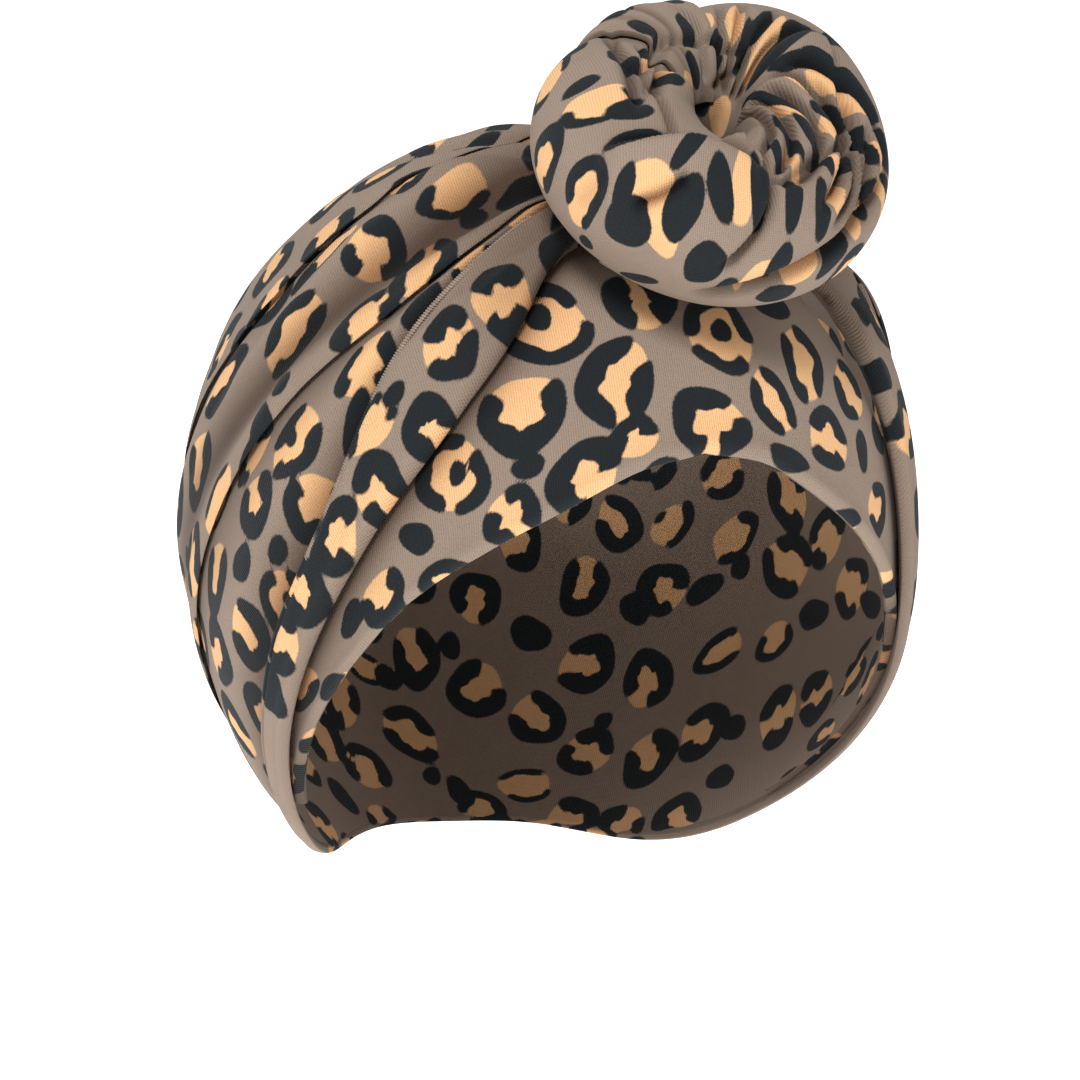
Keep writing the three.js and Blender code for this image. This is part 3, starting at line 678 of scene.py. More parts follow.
row_steps = [round(row["steps"] * FINENESS) for row in FOLDS[:-1]]
fold_places = np.concatenate([k + np.arange(n) / n for k, n in enumerate(row_steps)] + [[len(FOLDS) - 1]])
row_order = np.arange(len(FOLDS))


def across_folds(values):
    """values has a row for each fold line, and the result one for each line of the mesh."""
    return along(row_order, np.asarray(values, float), fold_places)


def folds_at(away, side):
    """Turn and lift of every mesh line, (lines, places), at degrees away from the fan point."""
    turn, lift = (along(STATIONS, np.array(column(FOLDS, key)).T, away).T for key in ("turn", "lift"))
    if side > 0:
        at = np.array(column(FOLDS, "at"))[:, None] / ACROSS_END
        turn = turn + (1 - at) * along(STATIONS, LEFT_BOW, away)
        lift = lift + np.sin(np.pi * at) * along(STATIONS, LEFT_PUFF, away)
    return across_folds(turn), across_folds(lift)


def wrinkled(turn, lift, away, side):
    radius = FAN_RADIUS * np.sin(np.radians(away))
    added = np.zeros(lift.shape)
    for k, wrinkle in enumerate(WRINKLES):
        t = np.clip((away - wrinkle["start"]) / (wrinkle["end"] - wrinkle["start"]), 0, 1)
        sway = WRINKLE_SWAY * math.sin(SWAY_STEP * k) if side > 0 else 0
        middle = wrinkle["near"] + (wrinkle["far"] - wrinkle["near"]) * np.sqrt(t) + sway
        rise = np.sin(np.pi * np.clip(t + WRINKLE_START, 0, 1)) ** WRINKLE_FULL
        added += wrinkle["high"] * rise * mound(np.radians(turn - middle) * radius, wrinkle["wide"])
    return lift + added * smooth((lift - WRINKLE_FROM) / WRINKLE_OVER)


# Each line of the mesh has its share of the plain lining, the cloth hidden in the tucks before it,
# in mm, and its shade.
GAUGE = 62.0  # degrees from the fan point where the lining's lines are spaced
LINING_STEP = 0.03  # degrees kept between them where the outer lines turn back
turn_mid = folds_at(np.array([GAUGE]), -1)[0][:, 0]
onward = np.maximum.accumulate(turn_mid) + LINING_STEP * np.arange(len(fold_places))
line_share = (onward - onward[0]) / (onward[-1] - onward[0])
tucked = np.maximum(np.diff(across_folds(np.cumsum(column(FOLDS, "tuck")))), 0)
cloth_hidden = np.concatenate([[0], np.cumsum(tucked)])
fold_shade = np.clip(across_folds(column(FOLDS, "shade")), 0, 1)
PRINT_AT = (0, 70)  # where the band's print starts in the repeat
LINING_AT = (23, 11)  # mm that the lining's print lies from the outer one


def band_cloth(direction, hidden):
    """The print's places on the band: how far round the head from the middle of the nape, and how
    far across with the cloth that the tucks hide, in mm."""
    run = -FAN_RADIUS * np.arctan2(direction[..., 0], -(direction @ FAN))
    across = FAN_RADIUS * np.arcsin(np.clip(-(direction @ FAN_DOWN), -1, 1))
    return np.stack([run, across + hidden], -1) + PRINT_AT


def lining(turn):
    """The inner face under every mesh line: a plain sheet close to the head, with no tucks."""
    first, last = turn[:1] + HEM_IN, turn[-1:] - HEM_IN
    return first + (last - first) * line_share[:, None]


def band_piece(node, direction, direction_in, lift, shade, turned_round=False):
    """A stretch of the band over a plain lining, from grids of (lines, places)."""
    layers = on_head(direction, lift), on_head(direction_in, np.full(lift.shape, WRAP_INSIDE))
    cloths = band_cloth(direction, cloth_hidden[:, None]), band_cloth(direction_in, 0) + LINING_AT
    grids = [np.swapaxes(grid, 0, 1) for grid in layers + cloths + (shade, 0 * shade + LINING_SHADE)]
    if turned_round:
        grids = [grid[::-1] for grid in grids]
    piece = grid_mesh(node + "_cloth", grids[0], grids[1], grids[2:4], grids[4:])
    dress(piece, node)
    return piece


def wrap(side, node):
    count = int(FAN_RADIUS * math.radians(WRAP_END - STATIONS[0]) / WRAP_MESH)
    away = STATIONS[0] + (WRAP_END - STATIONS[0]) * np.linspace(0, 1, count) ** WRAP_CROWDING
    turn, lift = folds_at(away, side)
    lift = wrinkled(turn, lift, away, side)
    places = np.broadcast_to(away, turn.shape)
    direction = fan_direction(places, turn, side)
    direction_in = fan_direction(places, lining(turn), side)
    gone = smooth((away - FAR_SHADE["from"]) / FAR_SHADE["over"])
    far = FAR_SHADE["least"] + (1 - FAR_SHADE["least"]) * (1 - gone)
    near_knot = KNOT_SHADE["most"] * (1 - smooth((away - KNOT_SHADE["from"]) / KNOT_SHADE["over"]))
    shade = np.clip(fold_shade[:, None] * far + near_knot, 0, 1)
    piece = band_piece(node, direction, direction_in, lift, shade, turned_round=side < 0)


wrap(-1, "wrap_right")
wrap(1, "wrap_left")

# Small ribs of gathered knit stand along the back fold of the front pleat.
RIB_ROW = 4.6  # where they stand, counted in rows of FOLDS
RIB_FROM, RIB_TO = 20, 104  # degrees from the fan point
RIB_PLACES = 160  # points of the line that they stand on
RIB_SUNK = 0.04  # mm by which that line lies in the cloth
RIB_LEAN = 0.5  # how they lean back from the pleat


def make_rib_tree():
    """Ribs across a line, a grain of cloth at each step along it."""
    tree = bpy.data.node_groups.new("fold_ribs", "GeometryNodeTree")
    tree.interface.new_socket("Fold", in_out="INPUT", socket_type="NodeSocketGeometry")
    for label, value in (("Spacing", 0.62), ("Along", 0.37), ("Across", 1.15), ("High", 0.26)):
        socket = tree.interface.new_socket(label, in_out="INPUT", socket_type="NodeSocketFloat")
        socket.default_value = value * MM
    tree.interface.new_socket("Cloth", in_out="INPUT", socket_type="NodeSocketMaterial")
    tree.interface.new_socket("Ribs", in_out="OUTPUT", socket_type="NodeSocketGeometry")
    given, result = tree.nodes.new("NodeGroupInput"), tree.nodes.new("NodeGroupOutput")

    def node(kind, links, **settings):
        made = tree.nodes.new(kind)
        for key, value in settings.items():
            setattr(made, key, value)
        for label, value in links.items():
            join(tree, value, made.inputs[label])
        return made.outputs[0]

    def direction(name):
        return node("GeometryNodeInputNamedAttribute", {"Name": name}, data_type="FLOAT_VECTOR")

    curve = node("GeometryNodeMeshToCurve", {"Mesh": given.outputs["Fold"]})
    steps = {"Curve": curve, "Length": given.outputs["Spacing"]}
    evenly = node("GeometryNodeResampleCurve", steps, mode="LENGTH")
    grain = node("GeometryNodeMeshUVSphere", {"Segments": 8, "Rings": 5, "Radius": 1.0})
    upright = node("FunctionNodeAlignRotationToVector", {"Vector": direction("outward")}, axis="Z")
    forward = {"Rotation": upright, "Vector": direction("ahead")}
    turned = node("FunctionNodeAlignRotationToVector", forward, axis="X", pivot_axis="Z")
    along_it, across_it, high = (given.outputs[label] for label in ("Along", "Across", "High"))
    size = node("ShaderNodeCombineXYZ", {"X": along_it, "Y": across_it, "Z": high})
    set_out = {"Points": evenly, "Instance": grain, "Rotation": turned, "Scale": size}
    ribs = node("GeometryNodeInstanceOnPoints", set_out)
    whole = node("GeometryNodeRealizeInstances", {"Geometry": ribs})
    smooth_ribs = node("GeometryNodeSetShadeSmooth", {"Geometry": whole})
    dressed = node("GeometryNodeSetMaterial", {"Geometry": smooth_ribs, "Material": given.outputs["Cloth"]})
    tree.links.new(dressed, result.inputs["Ribs"])
    return tree


def fold_ribs(side, name, tree):
    away = np.linspace(RIB_FROM, RIB_TO, RIB_PLACES)
    turn, lift = folds_at(away, side)
    row = np.argmin(np.abs(fold_places - RIB_ROW))
    direction = fan_direction(away, turn[row], side)
    points = on_head(direction, lift[row] - RIB_SUNK)
    backward = on_head(fan_direction(away, turn[row] + 1, side), lift[row]) - points
    mesh = bpy.data.meshes.new(name)
    mesh.from_pydata((points * MM).tolist(), [(k, k + 1) for k in range(len(points) - 1)], [])
    lay_print_and_shade(mesh, band_cloth(direction, cloth_hidden[row]), 0 * away)
    write_values(mesh, "outward", unit(direction + RIB_LEAN * unit(backward)))
    write_values(mesh, "ahead", unit(np.gradient(points, axis=0)))
    piece = placed(name, mesh)
    modifier = piece.modifiers.new("ribs", "NODES")
    modifier.node_group = tree
    inputs = [item for item in tree.interface.items_tree if item.in_out == "INPUT"]
    sockets = {item.name: item.identifier for item in inputs}
    modifier[sockets["Cloth"]] = jersey
    state = bpy.context.evaluated_depsgraph_get()
    piece.data = bpy.data.meshes.new_from_object(piece.evaluated_get(state), depsgraph=state)
    piece.modifiers.remove(modifier)
    dress(piece)


rib_tree = make_rib_tree()
fold_ribs(-1, "wrap_right_ribs", rib_tree)
fold_ribs(1, "wrap_left_ribs", rib_tree)

# The wraps' leading edges stand off the brow panel, and keep the light from the cloth beside them.
EDGE_SHADE = {"most": 0.9, "wide": 3.4, "power": 1.3}
shade = np.zeros(brow_direction.shape[:2])
away = np.degrees(np.arccos(np.clip(brow_direction @ FAN, -1, 1)))
places = np.clip(away, STATIONS[0], WRAP_END).ravel()
for side in (-1, 1):
    turn = np.degrees(np.arctan2(side * brow_direction[..., 0], brow_direction @ FAN_DOWN))
    edge = along(STATIONS, FOLDS[1]["turn"], places)
    if side > 0:
        edge = edge + along(STATIONS, LEFT_BOW, places)
    edge = edge.reshape(away.shape)
    gone = np.maximum(np.radians(edge - turn) * FAN_RADIUS * np.sin(np.radians(away)), 0)
    faded = np.exp(-((gone / EDGE_SHADE["wide"]) ** EDGE_SHADE["power"]))
    shade = np.maximum(shade, EDGE_SHADE["most"] * faded)
# Painted shadow: the edges' shadow is written into the panel's fold shade.
shades = np.concatenate([shade.ravel(), no_shade.ravel() + LINING_SHADE]).astype(np.float32)
brow_panel.data.attributes["fold_shade"].data.foreach_set("value", shades)

# ==== nape band ====
# The same cloth where it passes round the back of the head, with the wraps' pleats drawn together
# in it. It is plain, with no seam at the middle.
NAPE_PULL = 1.4  # how far the lines run straight on before they turn to the nape
NAPE_RUN = 150  # mm round the nape from one wrap to the other
NAPE_MESH = 0.9  # mm between the points along a fold
NAPE_SHADE = 0.4  # how dark its folds are beside the wraps'
# Degrees from the fan point where it starts, and a little before that.
SEAM = np.array([WRAP_END, WRAP_END - 2], float)
nape_places = np.linspace(0, 1, int(NAPE_RUN / NAPE_MESH))
on_left = (nape_places < 0.5)[None, :, None]
to_middle = 1 - np.abs(2 * nape_places - 1)


def nape_lines(ends, drop):
    """Directions of every line, from the wearer's left end to the right one. ends holds the lines'
    turns at the seam on each side, and drop their angles below the horizontal at the middle."""
    starts, aheads = {}, {}
    for side in (1, -1):
        seam = fan_direction(np.broadcast_to(SEAM, ends[side].shape), ends[side], side)
        starts[side] = seam[:, None, 0]
        aheads[side] = unit(seam[:, 0] - seam[:, 1])[:, None]
    drop = np.radians(drop)
    to = np.stack([0 * drop, np.cos(drop), -np.sin(drop)], -1)[:, None]
    start = np.where(on_left, starts[1], starts[-1])
    ahead = np.where(on_left, aheads[1], aheads[-1])
    pull = NAPE_PULL * np.linalg.norm(start - to, axis=-1, keepdims=True)
    q = to_middle[None, :, None]
    line = start * (2 * q**3 - 3 * q**2 + 1) + ahead * (q**3 - 2 * q**2 + q) * pull
    line = line + to * (3 * q**2 - 2 * q**3)
    line[..., 0] -= (np.where(on_left, 1, -1) * (q**3 - q**2) * pull)[..., 0]
    return unit(line)


seam_turns, seam_lifts, lining_turns = {}, {}, {}
for side in (1, -1):
    turn, lift = folds_at(SEAM, side)
    seam_turns[side] = turn
    seam_lifts[side] = wrinkled(turn, lift, SEAM, side)[:, :1]
    lining_turns[side] = lining(turn)
drop = across_folds(column(FOLDS, "drop"))
drop_in = drop[0] - HEM_IN + (drop[-1] - drop[0] + 2 * HEM_IN) * line_share
seam_lift = np.where(on_left[..., 0], seam_lifts[1], seam_lifts[-1])
nape_lift = across_folds(column(FOLDS, "nape_lift"))[:, None]
nape_band = band_piece(
    "nape_band",
    nape_lines(seam_turns, drop),
    nape_lines(lining_turns, drop_in),
    seam_lift + (nape_lift - seam_lift) * smooth(to_middle),
    np.broadcast_to(NAPE_SHADE * fold_shade[:, None], seam_lift.shape),
)

# ==== knot ====
# Both ends of the band, twisted together and wound once round, so that the strand makes a coil
# with a deep dimple. Its pleats curl out of the dimple and the end is tucked in at the crown side.
KNOT = {"x": 4.5, "y": -52, "z": 102.5, "tilt": 60}  # its middle in mm, and the degrees its face looks up
COIL = table_of(  # the coil's section in mm, from the middle of its underside to the dimple's bottom
    ("out", "up"),
    (0, -23),
    (11, -23),
    (23, -20),
    (33.5, -10),
    (36.5, 1),
    (33, 10.5),
    (24, 15.5),
    (14, 14),
    (7.5, 8),
    (4.5, 1),
    (2.5, -4),
    (0, -6),
)
# Where the strand is fatter or thinner: at in degrees clockwise from the crown side, and more in mm.
LOBES = table_of(
    ("at", "more", "spread"),
    (46, 4.4, 38),
    (262, 1.6, 40),
    (316, -3, 18),
    (348, -3, 20),
)
# Creases are lines on the coil's face, each through three places: degrees clockwise from the crown
# side, and the share of the section, with 1 at the bottom of the dimple. deep and wide are mm, lean
# is how much wider a crease is on its clockwise side, and step lifts the cloth beyond that side, or
# beyond the other side where it is below 0.
CREASES = table_of(
    ("angle_1", "share_1", "angle_2", "share_2", "angle_3", "share_3", "deep", "wide", "lean", "step"),
    # rolled rim of the front lobe, its right border, and the deep crease over the lower lobe
    (248, 0.46, 222, 0.575, 186, 0.64, 2.6, 1.2, 1.0, 5.0),
    (178, 0.64, 181, 0.50, 195, 0.36, 2.6, 1.5, 0.7, 1.8),
    (106, 0.45, 156, 0.40, 202, 0.275, 3.6, 1.9, 1.2, 1.4),
    # pleats down the wearer's left of the dimple
    (84, 0.68, 122, 0.60, 174, 0.52, 3.4, 1.0, 1.4, 0.4),
    (70, 0.64, 108, 0.57, 165, 0.47, 3.6, 1.1, 1.4, 0.4),
    (76, 0.60, 114, 0.54, 160, 0.43, 3.2, 1.0, 1.4, 0.3),
    (82, 0.56, 118, 0.505, 154, 0.41, 3.4, 1.0, 1.4, 0.3),
    (98, 0.51, 124, 0.475, 148, 0.42, 3.0, 1.0, 1.4, 0.3),
    (58, 0.64, 80, 0.53, 112, 0.43, 3.4, 1.3, 1.8, 0.5),
    (100, 0.71, 140, 0.635, 180, 0.55, 3.2, 1.0, 1.3, 0.3),
    (96, 0.76, 140, 0.68, 184, 0.60, 3.0, 0.9, 1.3, 0.2),
    (60, 0.66, 94, 0.585, 150, 0.50, 2.6, 0.9, 1.3, 0.2),
    # pleats that rise to the crown side
    (34, 0.74, 38, 0.62, 52, 0.50, 2.6, 1.3, 1.6, 1.2),
    (22, 0.74, 25, 0.63, 34, 0.50, 2.4, 1.1, 1.5, 0.6),
    (10, 0.73, 13, 0.62, 19, 0.48, 2.2, 1.0, 1.4, 0.6),
    (3, 0.72, 5, 0.61, 10, 0.48, 1.8, 0.9, 1.4, 0),
    (354, 0.72, 357, 0.61, 1, 0.48, 2.2, 1.0, 1.4, 0.6),
    (343, 0.70, 349, 0.60, 345, 0.50, 2.2, 1.2, 1.4, 0.6),
    # narrow upright folds between the left lobe and the wall of the dimple
    (256, 0.585, 292, 0.615, 326, 0.575, 3.4, 1.3, 1.0, -1.2),
    (250, 0.545, 284, 0.55, 318, 0.48, 3.0, 1.5, 1.0, -1.6),
    (254, 0.565, 288, 0.585, 312, 0.56, 1.8, 0.9, 1.0, 0),
    # soft dents in the front lobe
    (214, 0.505, 219, 0.46, 227, 0.41, 2.8, 1.3, 1.2, 0),
    (238, 0.44, 240, 0.40, 243, 0.34, 0.7, 2.4, 1.0, 0),
)
# The print as it lies on the knot's face, by the place of each spot on it.
KNOT_SPOTS = table_of(
    ("angle", "share") + SPOT_KEYS[2:],
    # front lobe
    (219, 0.43, 9.4, 4.4, -68, -1),
    (225, 0.385, 6, 4.2, -55),
    (231, 0.43, 3.6, 2.1, 60),
    (212, 0.45, 5.8, 3.9, 75),
    (220, 0.535, 4.2, 2, 33),
    (194, 0.51, 5.8, 2.6, 88, -1),
    (202, 0.50, 6.2, 2.4, -75),
    (186, 0.515, 6.6, 3, 85),
    (199, 0.37, 5, 4.3, 30),
    (237, 0.285, 3.2, 1.9, -45),
    (217, 0.27, 7, 2.2, -15),
    (248, 0.80, 5, 3.2, 20, -1),
    # left lobe
    (242, 0.375, 6.8, 6, 30, 3.6, 200, 70),
    (240, 0.50, 5.6, 2.2, -12),
    (262, 0.355, 6.6, 5.8, 0, 3.8, 180, 76),
    (261, 0.49, 6.6, 4.6, -15, 2.4, 95, 110),
    (272, 0.475, 3.3, 1.9, 10),
    (252, 0.525, 4.2, 2.3, -30),
    (287, 0.41, 7.6, 4.4, 58, 2.2, 110, 60, -60, 40),
    (285, 0.55, 3.6, 2.7, 90),
    (300, 0.45, 4, 2.6, 80),
    (305, 0.585, 3, 1.9, 70),
    (296, 0.605, 3.4, 2.8, 60, -1),
    (283, 0.63, 2.8, 2, 80),
    # crown side
    (344, 0.62, 6.6, 6, 60),
    (345, 0.75, 2.4, 2.4),
    (20, 0.77, 4.4, 3.2, -40, -1),
    (352, 0.58, 2.6, 2),
    (357, 0.56, 4.2, 2.4, 40, -1),
    (3, 0.62, 4.4, 1.6, 85),
    (14, 0.56, 5.2, 2.2, 60, -1),
    (20, 0.62, 5, 1.5, 70),
    (27, 0.575, 5.6, 2, 35),
    (34, 0.605, 7, 3.2, 60, -1),
    (47, 0.605, 8, 3, 40),
    (47, 0.545, 5.4, 2.8, -10),
    # wearer's left, along the pleats
    (72, 0.56, 6.4, 2.4, -25),
    (86, 0.505, 6.4, 2.5, -60),
    (86, 0.545, 8, 2.6, -55, -1),
    (80, 0.585, 3.6, 1.7, -45, -1),
    (86, 0.62, 5.4, 1.6, -60, -1),
    (110, 0.66, 5, 1.7, -75),
    (148, 0.62, 5, 1.5, 88),
    (70, 0.70, 4, 1.8, -50),
    (106, 0.60, 3.2, 1.4, -80),
    (135, 0.60, 5.4, 1.7, 88),
    (171, 0.50, 5.4, 2.2, 70),
    (127, 0.54, 5, 2.2, 80),
    (150, 0.49, 3.6, 1.5, 85, -1),
    (159, 0.48, 5.4, 2.2, 80),
    (118, 0.41, 6, 2.2, -75, -1),
    (117, 0.385, 6.4, 1.8, -65),
    (130, 0.44, 4.8, 1.9, 80),
    (103, 0.45, 6, 2.4, -80),
    # lower lobe
    (190, 0.33, 3.4, 2.5, 30),
    (183, 0.355, 5, 2.5, 60, -1),
    (176, 0.385, 4.8, 2.7, 70),
    (165, 0.37, 5.2, 2.9, 35, -1),
    (170, 0.31, 6.6, 2.9, 10),
    (152, 0.385, 6.2, 2.9, 65),
    (140, 0.32, 8, 6, 40, 4, 30, 50),
    # round the back, out of sight
    (96, 0.33, 8, 6.4, 60, 4, 150, 50),
    (64, 0.36, 8.4, 7.2, 0, 4.6, 60, 50),
    (60, 0.46, 6.4, 3.2, -20),
    (36, 0.40, 8.8, 7.4, 20, 4.6, -60, 50),
    (10, 0.40, 8.4, 7, 0, 4.6, 100, 50),
    (330, 0.36, 7.6, 6.4, 40, 4, 200, 50),
    (312, 0.29, 7.4, 6, 10, 4, 20, 50),
    (340, 0.26, 6.4, 3.4, 70),
    (0, 0.30, 7.6, 6.2, 30, 4, 120, 50),
    (26, 0.27, 7.6, 6, 80, 4, -30, 50),
    (48, 0.29, 5.4, 3.4, 20),
    (70, 0.25, 7.8, 6.2, 50, 4, 90, 50),
    # smaller ones between the pleats at the wearer's left
    (98, 0.575, 4.6, 1.7, -70),
    (120, 0.575, 4.6, 1.6, -85, -1),
    (142, 0.565, 4.8, 1.5, 85),
    (160, 0.575, 4.4, 1.4, 85, -1),
    (168, 0.60, 4.2, 1.4, 80),
    (122, 0.65, 4.4, 1.4, -80, -1),
    (98, 0.685, 4, 1.5, -65),
    (143, 0.525, 4.6, 1.6, 85, -1),
    (110, 0.505, 5, 2, -75),
    (112, 0.465, 4.6, 1.8, -75, -1),
    (138, 0.425, 4.4, 1.8, 80, -1),
    (64, 0.615, 5, 2, -20),
)
# Where the cloth swells into a lip or a peak: place, how far it reaches and how high, in mm.
PUFFS = table_of(
    ("angle", "share", "wide", "high"),
    (84, 0.66, 4.2, 3.6),
    (100, 0.71, 8, 6.5),
    (132, 0.68, 7, 5),
    (165, 0.66, 6, 3),
    (62, 0.60, 7, 2.6),
    (290, 0.66, 5, 2.4),
)
KNOT_COLUMNS, KNOT_ROWS = 300, 170  # of the mesh
SECTION_PLACES = 240  # points in which the section's length is measured
SLOPE_STEP = 0.05  # rows of COIL either way over which its slope is read
CREASE_PLACES = 15  # points of a crease's line
KNOT_SEAT = 9.2  # mm over the head on which the knot lies
KNOT_START = 337  # degrees at which the mesh's columns start
KNOT_SPREAD = 1.21  # the print is drawn out over the stuffed coil
ONCE = (1000, 1000)  # mm; a repeat so wide that the print comes once
SWELL_FROM, SWELL_OVER = 0.12, 0.2  # share of the section where a lobe starts, and over what share
CREASE_FADE = 0.16  # share of its length over which a crease starts and ends
STEP_RISE, STEP_RUN = 2.0, 9  # mm over which a step rises, and then dies away
CREASE_SHADE = 0.3  # shade for each mm of depth
RELIEF_FROM = 10  # mm from the axis within which relief fades out
# Painted shade in the dimple: the share of the section where it starts, how much each mm of puff holds it
# back, over what share it grows, and how dark it gets.
HOLE = {"from": 0.62, "proud": 0.03, "over": 0.2, "shade": 0.85}  # how dark the dimple gets
knot_middle = np.array([KNOT["x"], KNOT["y"], KNOT["z"]], float)
tilt = math.radians(KNOT["tilt"])
knot_axis = np.array([0, -math.cos(tilt), math.sin(tilt)])
knot_crownward = np.array([0, math.sin(tilt), math.cos(tilt)])
section_order = np.arange(len(COIL))
section_share = np.linspace(0, 1, SECTION_PLACES)
section_at = section_share * section_order[-1]
section_line = np.stack([along(section_order, column(COIL, key), section_at) for key in ("out", "up")], -1)
section_run = np.concatenate([[0], np.cumsum(np.linalg.norm(np.diff(section_line, axis=0), axis=1))])


def wrapped(angle):
    return (angle + 180) % 360 - 180


def face_place(angle, share):
    """Where a place of the coil lies when its face is spread flat about the dimple, in mm."""
    out = section_run[-1] - np.interp(share, section_share, section_run)
    a = np.radians(angle)
    return np.stack([out * np.sin(a), out * np.cos(a)], -1)


def beside(place, crease):
    """How far places lie clockwise of a crease's line, in mm, and how far along the line, 0 to 1."""
    t = np.linspace(0, 2, CREASE_PLACES)
    angle, share = (
        along([0, 1, 2], [crease[key + number] for number in ("_1", "_2", "_3")], t)
        for key in ("angle", "share")
    )
    line = face_place(angle, share)
    start, ahead = line[:-1], np.diff(line, axis=0)
    off = place[:, None] - start
    part = np.clip((off * ahead).sum(-1) / (ahead**2).sum(-1), 0, 1)
    off = off - part[..., None] * ahead
    distance = np.hypot(off[..., 0], off[..., 1])
    near = distance.argmin(1)
    pick = np.arange(len(place))
    off, ahead = off[pick, near], ahead[near]
    turned = ahead[:, 0] * off[:, 1] - ahead[:, 1] * off[:, 0]
    return np.copysign(distance[pick, near], -turned), (near + part[pick, near]) / len(start)


def relief(angle, share):
    """How far the coil's cloth stands proud of its plain section, and how dark the painted shade in its
    creases is.
    """
    place = face_place(angle.ravel(), share.ravel())
    proud, deep = np.zeros(len(place)), np.zeros(len(place))
    for crease in CREASES:
        gone, run = beside(place, crease)
        fade = smooth(run / CREASE_FADE) * smooth((1 - run) / CREASE_FADE)
        spread = np.where(gone > 0, crease["wide"] * crease["lean"], crease["wide"])
        dip = mound(gone, spread) * fade
        proud -= crease["deep"] * dip
        beyond = np.maximum(gone * np.sign(crease["step"]), 0)
        proud += abs(crease["step"]) * smooth(beyond / STEP_RISE) * np.exp(-beyond / STEP_RUN) * fade
        deep = np.maximum(deep, dip * min(1, CREASE_SHADE * crease["deep"]))
    for puff in PUFFS:
        apart = np.linalg.norm(place - face_place(puff["angle"], puff["share"]), axis=-1)
        proud += puff["high"] * mound(apart, puff["wide"])
    for lobe in LOBES:
        swell = mound(wrapped(angle.ravel() - lobe["at"]), lobe["spread"])
        proud += lobe["more"] * swell * smooth((share.ravel() - SWELL_FROM) / SWELL_OVER)
    return proud.reshape(angle.shape), deep.reshape(angle.shape)


def coil_points(angle, share, proud):
    """Points of the coil that stand proud of its section by so many mm."""
    flat = share.ravel() * section_order[-1]
    outs, ups = column(COIL, "out"), column(COIL, "up")

    def read(values, at):
        return along(section_order, values, np.clip(at, 0, section_order[-1])).reshape(share.shape)

    out, up = np.maximum(read(outs, flat), 0), read(ups, flat)
    rise = read(ups, flat + SLOPE_STEP) - read(ups, flat - SLOPE_STEP)
    fall = read(outs, flat - SLOPE_STEP) - read(outs, flat + SLOPE_STEP)
    length = np.hypot(rise, fall)
    proud = proud * smooth(out / RELIEF_FROM)
    ring = np.where(out > 0, out + rise / length * proud, 0)
    a = np.radians(angle)[..., None]
    spoke = np.sin(a) * np.array([1.0, 0, 0]) + np.cos(a) * knot_crownward
    point = knot_middle + spoke * ring[..., None] + knot_axis * (up + fall / length * proud)[..., None]
    # The knot lies on the wraps and the panel, so its underside follows them.
    direction = unit(point / (HEAD["x"], HEAD["y"], HEAD["z"]))
    seat = on_head(direction, np.full(direction.shape[:-1], KNOT_SEAT))
    inside = (point * direction).sum(-1) < (seat * direction).sum(-1)
    return np.where(inside[..., None], seat, point)


angle = KNOT_START + np.arange(KNOT_COLUMNS) / KNOT_COLUMNS * 360
share = np.arange(1, KNOT_ROWS) / KNOT_ROWS
angle, share = np.meshgrid(angle, share, indexing="ij")
proud, deep = relief(angle, share)
ring_points = coil_points(angle, share, proud)
order = np.arange(angle.size).reshape(angle.shape)
onward = np.roll(order, -1, axis=0)
quads = np.stack([order[:, :-1], order[:, 1:], onward[:, 1:], onward[:, :-1]], -1).reshape(-1, 4)
# Both ends of the section are closed with quads that meet in one point.
first, middle, last = order[::2], order[1::2], np.roll(order[::2], -1, axis=0)
under = np.full(len(first), order.size)
dimple = under + 1
caps = [
    np.stack([under, first[:, 0], middle[:, 0], last[:, 0]], -1),
    np.stack([dimple, last[:, -1], middle[:, -1], first[:, -1]], -1),
]
pole_angle, pole_share, pole_shade = np.zeros(2), np.array([0.0, 1.0]), [0.5, 1.0]
poles = coil_points(pole_angle, pole_share, np.zeros(2))
points = np.concatenate([ring_points.reshape(-1, 3), poles]) * MM
cloth = np.concatenate([face_place(angle, share).reshape(-1, 2), face_place(pole_angle, pole_share)])
# Painted shade: the creases' shade with the dimple's shade on top, darkest deep in the dimple.
in_hole = smooth((share - HOLE["from"] - HOLE["proud"] * np.maximum(proud, 0)) / HOLE["over"])
shade = np.append(np.clip(deep + HOLE["shade"] * in_hole, 0, 1).ravel(), pole_shade)
knot_print = []
for spot in KNOT_SPOTS:
    u, v = face_place(spot["angle"], spot["share"])
    drawn = {key: KNOT_SPREAD * spot[key] for key in ("long", "wide")}
    knot_print.append({**spot, **drawn, "u": u, "v": v})
faces = np.concatenate([quads] + caps)
knot_coil = cloth_object("knot_coil_cloth", points, faces, cloth, shade, knot_print, ONCE)
dress(knot_coil, "knot_coil")

# ==== knot's tail ====
# The tucked end of the cloth: a folded flap over the crown side of the coil, with one corner
# standing up.
# start and stop are degrees clockwise from the crown side, outer and inner shares of the coil's
# section, and the rest mm.
TAIL = {"start": 315, "stop": 358, "outer": 0.335, "inner": 0.74, "thick": 2.6, "gap": 0.6, "edge": 0.5}
TAIL_CLOTH = (26, 44)  # mm of cloth across the tail and along it
TAIL_CORNER = {"high": 3.2, "wide": 0.16, "at": 0.1, "long": 0.2}  # mm, then shares of the tail
TAIL_FOLDS = table_of(("deep", "at", "slant", "wide"), (0.9, 0.52, 0.2, 0.05), (0.6, 0.8, 0, 0.05))
TAIL_DENT = 0.28  # how far a fold dents the tail
TAIL_BLUNT = 0.35  # power that keeps the tail full out to its edges
TAIL_RIM = 0.01  # share of the tail at which it is cut off there
TAIL_SHADE = {"folds": 0.6, "under": 0.8}
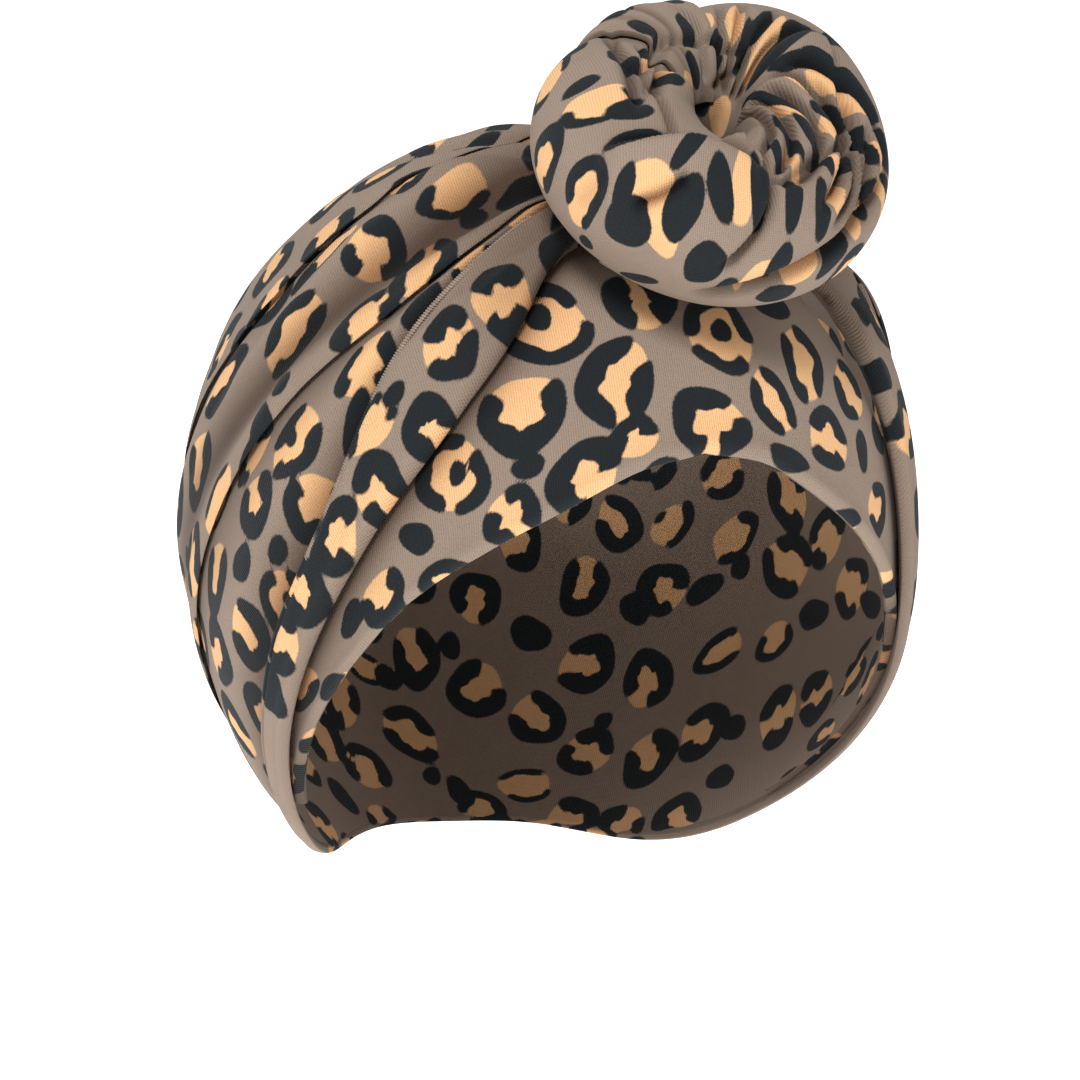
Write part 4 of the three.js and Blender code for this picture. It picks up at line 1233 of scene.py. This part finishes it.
TAIL_SPOTS = table_of(
    SPOT_KEYS,
    (17, 12, 4.6, 4, 80),
    (2, 1, 5, 4, 30, -1),
    (23, 23, 4, 2.6, 80),
    (9, 27, 4.6, 3.6, 60),
    (16, 36, 4.4, 3, 70),
    (22, 38, 3, 2.6, 60, -1),
    (4, 16, 3.4, 2, 80),
)
TAIL_COLUMNS, TAIL_ROWS = 70, 90  # of the mesh
i, j = np.meshgrid(np.linspace(0, 1, TAIL_COLUMNS), np.linspace(0, 1, TAIL_ROWS), indexing="ij")
angle = TAIL["stop"] + (TAIL["start"] - TAIL["stop"]) * i
share = TAIL["outer"] + (TAIL["inner"] - TAIL["outer"]) * j
across, down = (np.sin(np.pi * np.clip(part, TAIL_RIM, 1 - TAIL_RIM)) for part in (i, j))
arch = (across * down) ** TAIL_BLUNT
corner = mound(i, TAIL_CORNER["wide"]) * mound(j - TAIL_CORNER["at"], TAIL_CORNER["long"])
folds = sum(fold["deep"] * mound(i - fold["at"] - fold["slant"] * j, fold["wide"]) for fold in TAIL_FOLDS)
height = TAIL["edge"] + TAIL["thick"] * arch * (1 - TAIL_DENT * folds) + TAIL_CORNER["high"] * corner * arch
bed = relief(angle, share)[0] + TAIL["gap"]
outer = coil_points(angle, share, bed + height)
inner = coil_points(angle, share, bed)
cloth = np.stack([TAIL_CLOTH[0] * i, TAIL_CLOTH[1] * j], -1)
shades = TAIL_SHADE["folds"] * folds, 0 * i + TAIL_SHADE["under"]
knot_tail = grid_mesh("knot_tail_cloth", outer, inner, (cloth, cloth), shades, TAIL_SPOTS, ONCE)
dress(knot_tail, "knot_tail")

# ==== floor and light ====
# A plain pale floor below the band, which a head would hold up, and broad soft lights.
FLOOR_DROP = 0.30  # metres below the middle of the head
FLOOR_HALF = 6
floor_mesh = bpy.data.meshes.new("floor")
corners = [(x * FLOOR_HALF, y * FLOOR_HALF, -FLOOR_DROP) for x, y in ((-1, -1), (1, -1), (1, 1), (-1, 1))]
floor_mesh.from_pydata(corners, [], [(0, 1, 2, 3)])
floor = placed("floor", floor_mesh)
pale = bpy.data.materials.new("pale_floor")
pale.use_nodes = True
pale_shader = pale.node_tree.nodes["Principled BSDF"]
pale_shader.inputs["Base Color"].default_value = (0.92, 0.92, 0.92, 1)
pale_shader.inputs["Roughness"].default_value = 0.9
pale_shader.inputs["Emission Color"].default_value = (1, 1, 1, 1)
pale_shader.inputs["Emission Strength"].default_value = 1.0
floor_mesh.materials.append(pale)

AMBIENT = 0.28  # light from all round; the view itself sees the backdrop white
world = bpy.data.worlds.new("studio")
world.use_nodes = True
backdrop = world.node_tree.nodes["Background"]
backdrop.inputs["Color"].default_value = (1, 1, 1, 1)
seen = world.node_tree.nodes.new("ShaderNodeLightPath").outputs["Is Camera Ray"]
lifted = math_node(world.node_tree, "MULTIPLY_ADD", seen, 1 - AMBIENT, AMBIENT)
world.node_tree.links.new(lifted, backdrop.inputs["Strength"])
bpy.context.scene.world = world
bpy.context.scene.view_settings.view_transform = "Standard"


def soft_light(name, place, power, width):
    """A broad lamp that faces the middle of the head."""
    light = bpy.data.lights.new(name, "AREA")
    light.energy = power
    light.size = width
    lamp = placed(name, light)
    lamp.location = place
    lamp.rotation_euler = (-Vector(place)).to_track_quat("-Z", "Y").to_euler()


soft_light("key", (-0.6, -0.8, 1.1), 16, 0.4)
soft_light("fill", (0.9, -0.7, 0.3), 2.5, 0.8)
soft_light("back", (0.1, 0.9, 0.9), 5, 0.6)
